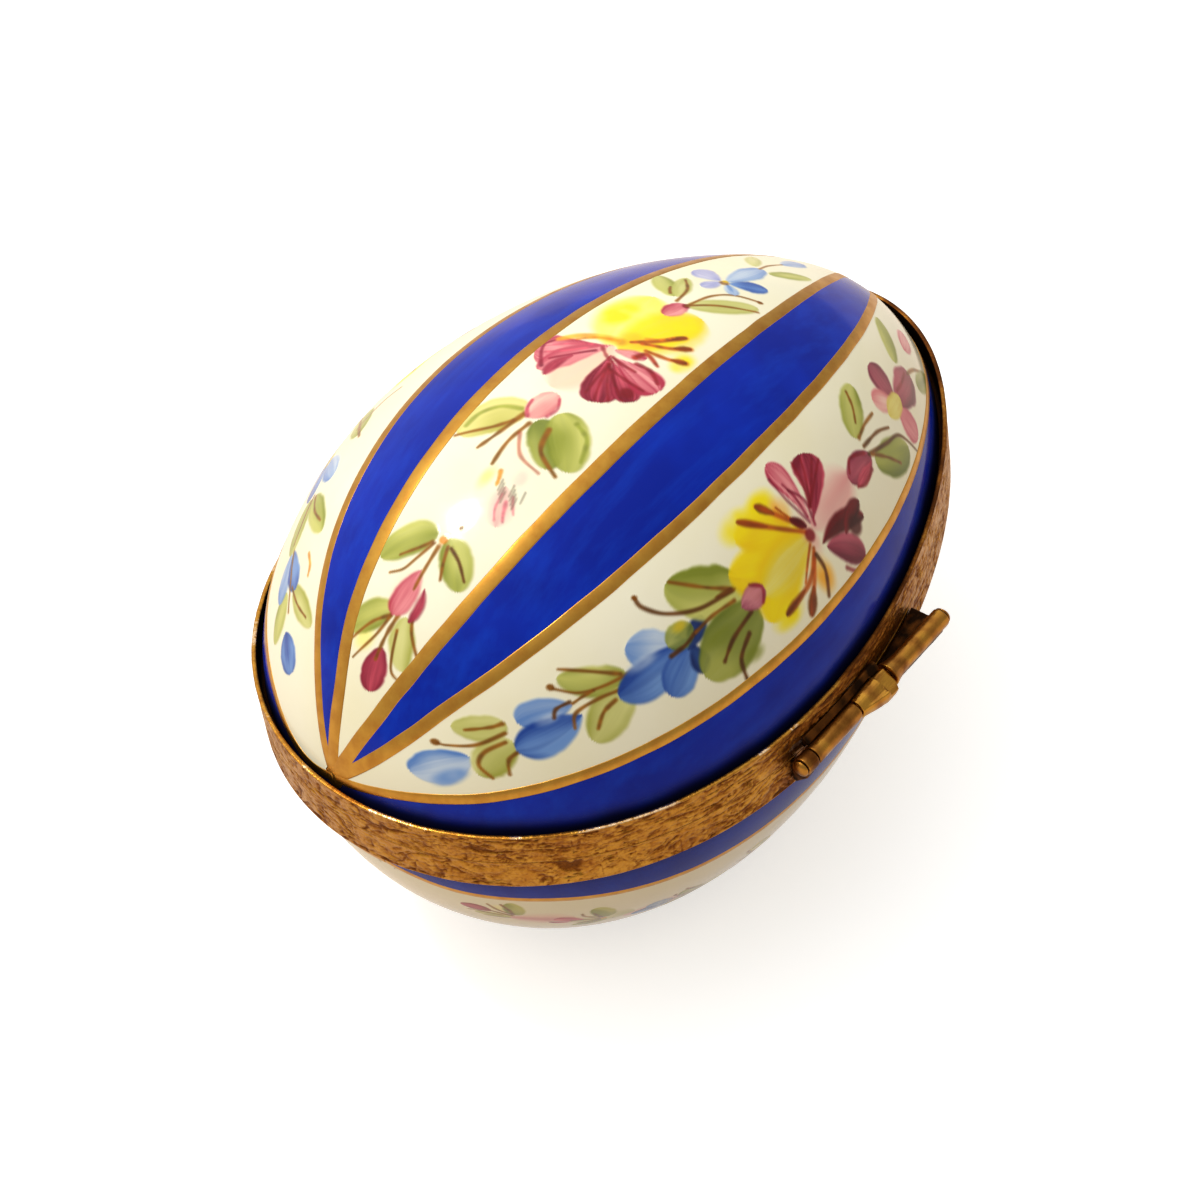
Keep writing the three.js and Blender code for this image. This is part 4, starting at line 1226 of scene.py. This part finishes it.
def great_flower_side(p):
    p.stroke("soft", LEMON, 44.2, -0.5, 36.0, -1.5, 4.8, -0.16, -0.1)
    p.stroke("soft", LEMON, 43.6, -1.2, 38.2, -3.0, 3.4, 0.0, -0.1)
    p.wash(LEMON[0], 39.2, -3.6, 2.2, 1.4, 0.95)
    p.wash(LEMON[0], 42.0, -3.6, 1.9, 1.2, 0.85)
    p.stroke("soft", LEMON, 44.2, 0.8, 36.9, 3.4, 4.5, 0.14, 0.2)
    p.stroke("haze", CREAM, 44.2, 0.8, 37.6, 1.4, 3.0)
    p.wash(LEMON[0], 38.6, 3.8, 2.0, 1.1, 0.9)
    p.wash(ORANGE[0], 43.4, 3.5, 1.3, 1.8, 0.9)
    p.wash(ORANGE[0], 43.2, -2.2, 1.2, 1.4, 0.7)
    p.wash(PEACH[1], 44.2, 0.6, 1.0, 2.0, 0.6)
    p.stroke("bud", PLUM_PALE, 35.4, 1.0, 38.0, 1.0, 1.9, 0.0, 0.3)
    p.line(MAROON[0], 0.26, (37.0, 0.1), (37.8, 0.9), (37.2, 1.8), solid=0.6)
    p.stroke("fan", PINK, 44.9, 0.6, 44.9, -5.3, 2.1, 0.05, -0.1)
    p.line(PLUM[1], 0.22, (44.9, 0.0), (44.3, -2.4), (44.2, -4.4), solid=0.6)
    p.line(MAGENTA[1], 0.24, (45.0, -0.4), (45.1, -2.0), (44.9, -3.4), solid=0.6)
    p.stroke("haze", PINK_PALE, 44.8, 0.4, 51.4, 0.0, 4.2, 0.0, 0.2)
    p.stroke("fan", MAGENTA, 45.2, 0.2, 48.6, -3.8, 3.4, 0.06, -0.2)
    for end in ((47.0, -4.0), (48.0, -3.7), (48.9, -3.0), (49.5, -2.6)):
        p.line(MAROON[0], 0.24, (45.8, -0.8), (end[0] * 0.5 + 23.2, end[1] * 0.5 - 0.6), end, solid=0.6)
    p.stroke("petal", PLUM, 45.0, 2.3, 48.2, 5.2, 2.5, -0.08, 0.5)
    p.line(MAROON[0], 0.4, (45.8, 4.6), (46.8, 5.5), (48.2, 5.2), solid=0.7, taper=0.2)
    p.stroke("petal", MAROON, 44.8, 1.9, 50.2, 3.0, 1.7, -0.12, 0.3)
    p.stroke("petal", MAROON, 47.4, 2.8, 50.6, 1.9, 1.5, -0.1, 0.3)
    p.spot(MAROON[1], 48.8, 2.9, 0.8, 0.8)
    stamens(p, ((44.0, 0.3), (41.8, -1.6), (39.5, -3.8), 0.75),
            ((44.0, -0.2), (42.8, -2.0), (41.6, -3.7), 0.9),
            ((43.8, 1.6), (42.4, 3.2), (40.5, 5.0), 1.0),
            ((43.6, 1.9), (41.7, 3.2), (38.6, 3.7), 0.75))
    p.line(STAMEN, 0.22, (43.8, -0.5), (43.4, -1.5), (43.0, -2.6))
    p.line(STAMEN, 0.22, (43.7, 1.2), (42.6, 2.0), (41.4, 3.0))
    p.line(VEIN_DARK, 0.42, (43.7, 2.1), (43.7, 3.4), (42.8, 5.0), taper=0.2)
    p.stroke("bud", MAROON, 43.4, -1.3, 44.4, 0.1, 0.9)
    p.spot(MAROON[0], 44.2, 0.7, 0.55, 0.8)
    p.line(MAGENTA[1], 0.26, (45.2, 0.4), (45.7, -1.4), (45.0, -2.8), solid=0.7)


def dark_bud_spray(p):
    p.stroke("bud", PLUM, 54.8, 0.5, 50.9, 0.3, 2.5, 0.0, 0.1)
    p.stroke("petal", MAGENTA, 54.4, 0.9, 51.4, 1.2, 1.1)
    p.line(MAROON[0], 0.28, (54.2, 0.0), (52.4, -0.7), (51.4, 0.0), solid=0.7)
    p.line(MAROON[0], 0.28, (54.0, 1.3), (52.4, 1.6), (51.4, 1.2), solid=0.7)
    p.stroke("leaf", GREEN, 54.4, -1.2, 58.4, -3.7, 2.8, -0.06, 0.35)
    p.stroke("leaf", GREEN_DEEP, 54.9, 1.2, 60.2, 3.2, 3.1, 0.04, 0.2)
    p.line(VEIN, 0.32, (57.2, -3.8), (56.6, -2.8), (55.6, -1.9))
    p.line(VEIN, 0.32, (54.8, -1.0), (56.4, -1.2), (58.2, -1.1))
    p.line(VEIN_DARK, 0.32, (54.7, -0.3), (57.2, 0.0), (59.0, 0.7))
    p.line(VEIN_DARK, 0.32, (54.7, 0.4), (57.5, 1.2), (59.8, 1.9), (61.4, 4.3))
    p.line(VEIN, 0.3, (55.0, 0.6), (56.5, 1.8), (57.9, 3.2))


def plum_flower(p):
    p.stroke("petal", PLUM, 62.1, 0.2, 62.4, -3.2, 2.8)
    p.stroke("petal", PINK_PALE, 61.9, 0.3, 59.4, -1.7, 2.1)
    p.stroke("petal", PLUM, 62.0, 0.5, 67.4, 0.8, 3.2, 0.0, 0.2)
    p.stroke("petal", PINK, 61.9, 0.6, 62.5, 3.8, 2.8)
    p.stroke("bud", CREAM, 60.0, 0.3, 63.2, 0.4, 1.9)
    p.line(MAROON[0], 0.26, (63.4, 0.0), (65.0, 0.2), (66.6, 0.2), solid=0.6)
    p.line(VEIN, 0.26, (67.0, 0.5), (69.0, 1.2), (71.0, 2.5))
    p.stroke("leaf", GREEN, 66.2, -1.0, 70.0, -3.4, 2.0, 0.0, 0.3)
    p.stroke("bud", PINK, 69.8, -0.2, 73.0, -0.1, 1.9)
    p.stroke("leaf", GREEN_DEEP, 67.6, 2.0, 72.0, 3.4, 1.9)


def front_spray(p):
    p.stroke("bud", SKY_DEEP, 11.8, -0.3, 8.5, -0.3, 2.6, 0.0, 0.2)
    p.stroke("leaf", GREEN, 14.9, -0.2, 11.7, -2.6, 2.2, 0.0, 0.3)
    p.stroke("leaf", GREEN_PALE, 14.9, 1.2, 11.4, 3.6, 2.3, 0.0, -0.3)
    p.stroke("petal", SKY, 18.2, -0.2, 14.4, -1.6, 2.3, 0.0, 0.2)
    p.stroke("petal", SKY_DEEP, 18.2, 0.2, 14.6, 1.3, 2.2, 0.0, 0.3)
    p.line(VEIN, 0.26, (18.4, 0.1), (15.6, 0.4), (13.2, 0.2))
    p.line(VEIN, 0.22, (15.0, 0.8), (13.4, 1.8), (12.2, 3.0))
    p.line(ORANGE[1], 0.4, (17.2, 3.2), (16.2, 3.6), (15.4, 3.4), solid=0.7)
    p.stroke("leaf", GREEN, 22.6, 0.6, 18.0, -0.6, 2.6, 0.0, 0.3)
    p.stroke("leaf", GREEN, 22.6, 1.2, 18.8, 4.6, 2.4, 0.0, -0.3)
    p.line(VEIN, 0.3, (22.8, 0.9), (20.6, 0.4), (18.8, -0.2))
    p.line(VEIN, 0.26, (22.6, 1.4), (21.0, 2.4), (19.8, 4.0))


def front_flowers(p):
    p.stroke("petal", SKY_DEEP, 26.6, -0.4, 22.6, -0.2, 2.2, 0.0, 0.3)
    p.stroke("petal", SKY, 26.8, 0.2, 23.8, 3.2, 2.4, 0.0, 0.2)
    p.stroke("petal", SKY_DEEP, 26.6, -0.8, 26.2, -5.0, 2.8, 0.0, 0.2)
    p.stroke("petal", SKY_DEEP, 27.2, -1.0, 31.2, -5.6, 2.4, 0.0, 0.2)
    p.spot(CREAM[1], 26.8, -0.4, 0.8, 0.8)
    p.line(VEIN_DARK, 0.26, (26.0, -0.2), (27.2, -0.6), (28.4, -0.4))
    p.stroke("leaf", GREEN, 27.8, 3.6, 31.6, 1.0, 2.6, 0.0, 0.3)
    p.stroke("leaf", GREEN, 30.2, 0.2, 35.2, -3.8, 2.8, 0.0, 0.3)
    p.line(VEIN, 0.3, (27.6, 4.2), (30.6, 1.0), (34.4, -3.4))
    p.line(VEIN, 0.26, (29.0, 2.4), (31.6, 3.4), (33.0, 4.8))


def paint_panels():
    top = Panel("lid", TOP_PANEL, LID_LINES[1][0], LID_LINES[0][1], PANEL_SEEDS["top"])
    for motif in (bud_and_leaves, rose_and_leaves, scratched_bud, pale_bud_spray, great_flower_top,
                  blue_spray_far):
        motif(top)
    top.finish("lid_panel_top")
    hinge = Panel("lid", HINGE_PANEL, LID_HINGE_LINE, LID_LINES[1][1], PANEL_SEEDS["hinge"])
    for motif in (berry_spray, blue_bell, blue_flower, plum_bud_spray, great_flower_side,
                  dark_bud_spray, plum_flower):
        motif(hinge)
    hinge.finish("lid_panel_hinge")
    front = Panel("lid", FRONT_PANEL, LID_LINES[0][0], front_turn, PANEL_SEEDS["front"])
    for motif in (front_spray, front_flowers):
        motif(front)
    great_flower_side(front.moved(-3.5, -1.0, -1))
    dark_bud_spray(front.moved(-3.5, 0.0, -1))
    plum_flower(front.moved(-4.0, 0.0, -1))
    front.finish("lid_panel_front")
    for name, middle, flip in (("hinge", BASE_GARLAND, 1), ("front", 180 - BASE_GARLAND, -1)):
        turns = [BASE_LINES[name], turn_for("base", middle - flip * BASE_PANEL_DROP)]
        panel = Panel("base", middle, *turns[::-flip], PANEL_SEEDS[f"base_{name}"])
        paint_base_garland(panel, flip)
        panel.finish(f"base_panel_{name}")


def paint_base_garland(p, flip):
    """Soft touches of colour all along, with small sprays over them."""
    for along, tones in ((12.6, PINK), (17.4, GREEN), (21.6, PINK), (26.0, GREEN), (31.6, PINK_PALE),
                         (37.0, GREEN), (43.0, PLUM), (48.4, GREEN), (54.0, PINK)):
        p.moved(0, 0, flip)
        p.stroke("haze", tones, along - 2.4, 0.6, along + 2.4, -0.4, 2.6, 0.0, 0.2, 0.7)
    for place, motif, first in ((6.0, bud_and_leaves, 8.0), (13.5, rose_and_leaves, 15.0),
                                (20.0, blue_bell, 15.5), (28.5, pale_bud_spray, 28.0),
                                (36.0, dark_bud_spray, 51.0), (44.0, rose_and_leaves, 15.0),
                                (50.5, blue_bell, 15.5)):
        motif(p.moved(place - first * GARLAND_SIZE, 0.0, flip, GARLAND_SIZE))


# The brass rims

def outline(turn, offset):
    """The egg's outline in plan, moved outwards."""
    x = HALF_LENGTH * np.cos(turn)
    y = FULL_WIDTH * np.sin(turn) * (1 + BLUNTNESS * np.cos(turn))
    along_x = -HALF_LENGTH * np.sin(turn)
    along_y = FULL_WIDTH * (np.cos(turn) + BLUNTNESS * np.cos(2 * turn))
    size = np.hypot(along_x, along_y)
    return x + offset * along_y / size, y - offset * along_x / size


def rim_section(wall):
    """The rim's section as [offset, height] from its seam face, and which of its points are the
    chiselled face and the rounded edge."""
    heights = np.linspace(SEAM_ROUND, RIM_HEIGHT - FACE_ROUND, FACE_ROWS)
    face = [(RIM_PROUD, height) for height in heights]
    edge = []
    for turn in np.linspace(0, math.pi, EDGE_STEPS + 1)[1:]:
        edge.append((RIM_PROUD - RIM_WALL / 2 * (1 - math.cos(turn)),
                     RIM_HEIGHT - FACE_ROUND * (1 - math.sin(turn))))
    lip = -wall - BED_GAP
    inner = [(RIM_PROUD - RIM_WALL, RIM_FLANGE), (lip, RIM_FLANGE),
             (lip - LIP_LEAN, RIM_FLANGE + LIP_HEIGHT),
             (lip - LIP_LEAN - LIP_WALL, RIM_FLANGE + LIP_HEIGHT), (lip - LIP_WALL, 0)]
    section = np.array([(RIM_PROUD - SEAM_ROUND, 0)] + face + edge + inner)
    end = 1 + FACE_ROWS
    return section, slice(1, end), slice(end, end + EDGE_STEPS)


def chisel(along, height, seed):
    """The chisel marks at a length round the rim and a height: how deep they are and how dark,
    both from 0 to 1."""
    around = along[-1, 0] + along[1, 0]

    def layer(per_mm, across, number, slide=0.0):
        period = round(around * per_mm)
        return noise(along * period / around, (height + slide) * across, seed + number, period)

    wobble = 2.0 * layer(0.35, 0.8, 0)
    blotch = 0.6 * layer(0.9, 2.8, 1, wobble) + 0.4 * layer(2.2, 5.6, 2)
    ridges = 1 - np.abs(2 * layer(0.6, 4.0, 3, wobble) - 1)
    scratches = smooth(0.7, 0.96, ridges) * smooth(0.3, 0.6, layer(0.7, 1.2, 4))
    nicks = 1 - np.abs(2 * layer(1.6, 3.4, 5, wobble) - 1)
    nicks = smooth(0.72, 0.96, nicks) * smooth(0.4, 0.7, layer(1.0, 1.6, 6))
    flecks = smooth(0.6, 0.9, layer(1.5, 4.2, 9))
    grain = layer(4.0, 9.0, 7)
    worn = layer(0.12, 0.5, 8)
    depth = 0.5 * smooth(0.4, 0.8, blotch) + 0.6 * scratches + 0.45 * nicks + 0.3 * (grain - 0.5)
    dark = (0.4 * smooth(0.38, 0.85, blotch) + 0.5 * scratches + 0.5 * nicks + 0.5 * (grain - 0.5)
            + 0.4 * (worn - 0.5) + 0.16 - 0.4 * flecks)
    return np.clip(depth - 0.15 * flecks, 0, 1), np.clip(dark, -0.05, 1)


def make_rim(side):
    section, face, edge = rim_section(WALL[side])
    turn = np.linspace(0, 2 * math.pi, RIM_STEPS, endpoint=False)[:, None]
    offsets = np.broadcast_to(section[:, 0], (RIM_STEPS, len(section))).copy()
    heights = np.broadcast_to(section[:, 1], offsets.shape).copy()
    x, y = outline(turn, RIM_PROUD)
    run = lengths_along(np.hstack([x, y]))[:, None]

    def around(per_mm, height, seed):
        """Noise that closes on itself round the rim."""
        return noise(run * per_mm + 0 * height, height, seed, round(run[-1, 0] * per_mm))

    face_height = heights[:, face]
    depth, dark = chisel(run + 0 * face_height, face_height, CHISEL_SEED[side])
    calm = smooth(0, FACE_CALM, face_height) * smooth(0, FACE_CALM, RIM_HEIGHT - face_height)
    swell = FACE_SWELL * (around(0.15, face_height * 0.4, 9) - 0.5)
    offsets[:, face] -= calm * (CHISEL_DEPTH * depth - swell)
    # The face is drawn darker near the hinge
    near_hinge = smooth(*NEAR_HINGE_Y, y) * smooth(*NEAR_HINGE_START_X, x) * (1 - smooth(*NEAR_HINGE_END_X, x))
    under_edge = np.exp(-((RIM_HEIGHT - UNDER_EDGE_DROP - face_height) / UNDER_EDGE_WIDTH) ** 2)
    level = np.zeros((1, EDGE_STEPS))
    heights[:, edge] += EDGE_WOBBLE * (around(0.55, level, 31) - 0.6)
    cut = np.full(offsets.shape, INSIDE_WEAR)
    # The top edge: uneven stains, lifted into a painted highlight
    cut[:, edge] = EDGE_STAIN * around(0.6, level, 33) - EDGE_PAINTED_HIGHLIGHT
    # Painted shade: the top edge is darker on the far side, which lies away from the light
    cut[:, edge] += EDGE_PAINTED_SHADE * smooth(*EDGE_PAINTED_SHADE_RANGE, x * FAR_SIDE[0] + y * FAR_SIDE[1])
    cut[:, face] = dark + NEAR_HINGE_DARKENING * near_hinge
    cut[:, face] += UNDER_EDGE_STAIN * under_edge * smooth(0.2, 0.6, depth)
    # Painted shade: the inner side of the top edge and the groove wall below it are near black, where
    # shade falls by the porcelain
    cut[:, edge.stop - 2:edge.stop + 1] = GROOVE_PAINTED_SHADE
    x, y = outline(turn, offsets)
    points = np.stack([x, y, SEAM_Z + FROM_SEAM[side] * (SEAM_GAP / 2 + heights)], -1)
    faces = grid_faces(*offsets.shape, around=True, wrap=True, flip=side == "base")
    piece = make_piece(f"{side}_rim_chiselled", points, faces, side, "rim_brass", RIM_BRASS,
                       (f"{side}_rim",))
    piece.data.set_sharp_from_angle(angle=math.radians(CORNER_ANGLE))
    add_values(piece, "cut", cut)


# The hinge and the clasp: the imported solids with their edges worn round

def read_rows(rows, name, width, kind=np.float64):
    """One property of all the points or edges of a mesh."""
    store = np.empty(len(rows) * width, kind)
    rows.foreach_get(name, store)
    return store.reshape(-1, width)


def worn(node_name, body, slot, shade_and_grime):
    """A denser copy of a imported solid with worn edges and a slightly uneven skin."""
    holder = bpy.data.objects.new("worn_source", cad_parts[node_name].data.copy())
    holder.data.transform(Matrix.Scale(1 / MM, 4))
    bpy.context.scene.collection.objects.link(holder)
    cells = holder.modifiers.new("cells", "REMESH")
    cells.mode = "VOXEL"
    cells.voxel_size = WORN_CELL
    dense = holder.evaluated_get(bpy.context.evaluated_depsgraph_get()).to_mesh()
    points = read_rows(dense.vertices, "co", 3)
    out = read_rows(dense.vertices, "normal", 3)
    edges = read_rows(dense.edges, "vertices", 2, np.int32)
    faces = [list(face.vertices) for face in dense.polygons]
    bpy.data.objects.remove(holder)
    ends = np.concatenate([edges[:, 0], edges[:, 1]])
    others = np.concatenate([edges[:, 1], edges[:, 0]])
    degree = np.bincount(ends, minlength=len(points))[:, None]
    softened = points
    for _ in range(WORN_PASSES):
        sums = [np.bincount(ends, softened[others, axis], len(points)) for axis in range(3)]
        softened = softened * (1 - WORN_SOFTEN) + np.stack(sums, -1) / degree * WORN_SOFTEN
    edge_wear = ((points - softened) * out).sum(-1)
    x, y, z = points.T
    lumps = noise(x * 1.3 + 40, y * 2.1 + z * 1.7 + 80, 21) - 0.5
    fine = noise(x * 3.5 + 90, y * 4 + z * 3 + 120, 22) - 0.5
    softened = softened + out * (WORN_BUMP * (lumps + 0.5 * fine))[:, None]
    piece = make_piece(f"{node_name}_worn", softened, faces, body, slot, HINGE_METAL, (node_name,))
    shine = WORN_SHINE * np.clip(edge_wear, -WORN_SHINE_DEPTH, WORN_SHINE_DEPTH)
    # Each piece's darkness: dirt, and on the bearers painted shade
    add_values(piece, "cut", np.clip(shade_and_grime - shine + WORN_STAIN * lumps, -0.5, 1.5)[:, None])


# The floor, the light and the camera

def direction(turn, rise):
    turn, rise = math.radians(turn), math.radians(rise)
    return Vector((math.cos(turn) * math.cos(rise), math.sin(turn) * math.cos(rise), math.sin(rise)))


def make_floor():
    mesh = bpy.data.meshes.new("floor")
    half = FLOOR_SIZE / 2
    mesh.from_pydata([(-half, -half, 0), (half, -half, 0), (half, half, 0), (-half, half, 0)], [],
                     [(0, 1, 2, 3)])
    nodes = material_nodes("pale_floor")
    cloth = nodes.noise(30.0, 3.0)
    tone = nodes.mix(nodes.range(cloth, 0.3, 0.7, 0, 1), rgba(FLOOR_PALE), rgba(FLOOR_SHADE))
    path = nodes.add("ShaderNodeLightPath").outputs
    seen = nodes.math("MAXIMUM", path["Is Camera Ray"], path["Is Glossy Ray"])
    seen = nodes.math("MAXIMUM", seen, path["Is Transmission Ray"])
    tone = nodes.mix(path["Is Camera Ray"], rgba(FLOOR_BOUNCE), tone)
    nodes.set(Base_Color=tone, Roughness=0.9, Specular_IOR_Level=0.1, Emission_Color=WHITE_LIGHT)
    mesh.materials.append(nodes.set(Emission_Strength=nodes.math("MULTIPLY", seen, FLOOR_GLOW)))
    floor = bpy.data.objects.new("floor", mesh)
    bpy.context.scene.collection.objects.link(floor)


def light_world():
    """A dim room with one broad bright side; the camera sees plain white past the floor."""
    world = bpy.data.worlds.new("studio")
    bpy.context.scene.world = world
    nodes = Nodes(world, "Background", "Generated")
    facing = nodes.add("ShaderNodeVectorMath", operation="DOT_PRODUCT")
    nodes.join(nodes.place, facing.inputs[0])
    facing.inputs[1].default_value = direction(WORLD_TURN, WORLD_RISE)
    facing = nodes.math("MAXIMUM", facing.outputs["Value"], 0.0)
    facing = nodes.math("POWER", facing, WORLD_FALL)
    power = nodes.range(facing, 0, 1, WORLD_DIM, WORLD_BRIGHT)
    path = nodes.add("ShaderNodeLightPath").outputs
    seen = nodes.math("MAXIMUM", path["Is Camera Ray"], path["Is Transmission Ray"])
    power = nodes.range(seen, 0, 1, power, 1.0)
    nodes.set(Strength=power, Color=nodes.mix(seen, WORLD_TINT, WHITE_LIGHT))


def make_lamp():
    lamp = bpy.data.lights.new("key", "AREA")
    lamp.shape = "DISK"
    lamp.size = LAMP_SIZE
    lamp.energy = LAMP_WATTS
    lamp.color = LAMP_COLOUR
    holder = bpy.data.objects.new("key", lamp)
    bpy.context.scene.collection.objects.link(holder)
    way = direction(LAMP_TURN, LAMP_RISE)
    holder.location = Vector((0, 0, FOOT_DROP * MM)) + way * LAMP_DISTANCE
    holder.rotation_mode = "QUATERNION"
    holder.rotation_quaternion = way.to_track_quat("Z", "Y")


def make_camera():
    camera = bpy.data.cameras.new("camera")
    camera.lens = CAMERA_LENS
    camera.sensor_width = CAMERA_SENSOR
    camera.clip_start = CAMERA_CLIP
    holder = bpy.data.objects.new("camera", camera)
    bpy.context.scene.collection.objects.link(holder)
    back = direction(CAMERA_TURN, CAMERA_RISE)
    level = Vector((0, 0, 1)).cross(back).normalized()
    upright = back.cross(level)
    roll = math.radians(CAMERA_ROLL)
    right = level * math.cos(roll) + upright * math.sin(roll)
    up = upright * math.cos(roll) - level * math.sin(roll)
    place = Vector(CAMERA_AIM) + back * CAMERA_DISTANCE
    columns = [(*right, 0), (*up, 0), (*back, 0), (*place, 1)]
    holder.matrix_world = Matrix(columns).transposed()
    bpy.context.scene.camera = holder


make_shell("lid")
make_shell("base")
paint_lines()
paint_panels()
make_rim("lid")
make_rim("base")
for node_name, wear in WORN_PIECES.items():
    worn(node_name, *wear)
make_floor()
light_world()
make_lamp()
make_camera()
bpy.context.scene.view_settings.view_transform = "Standard"
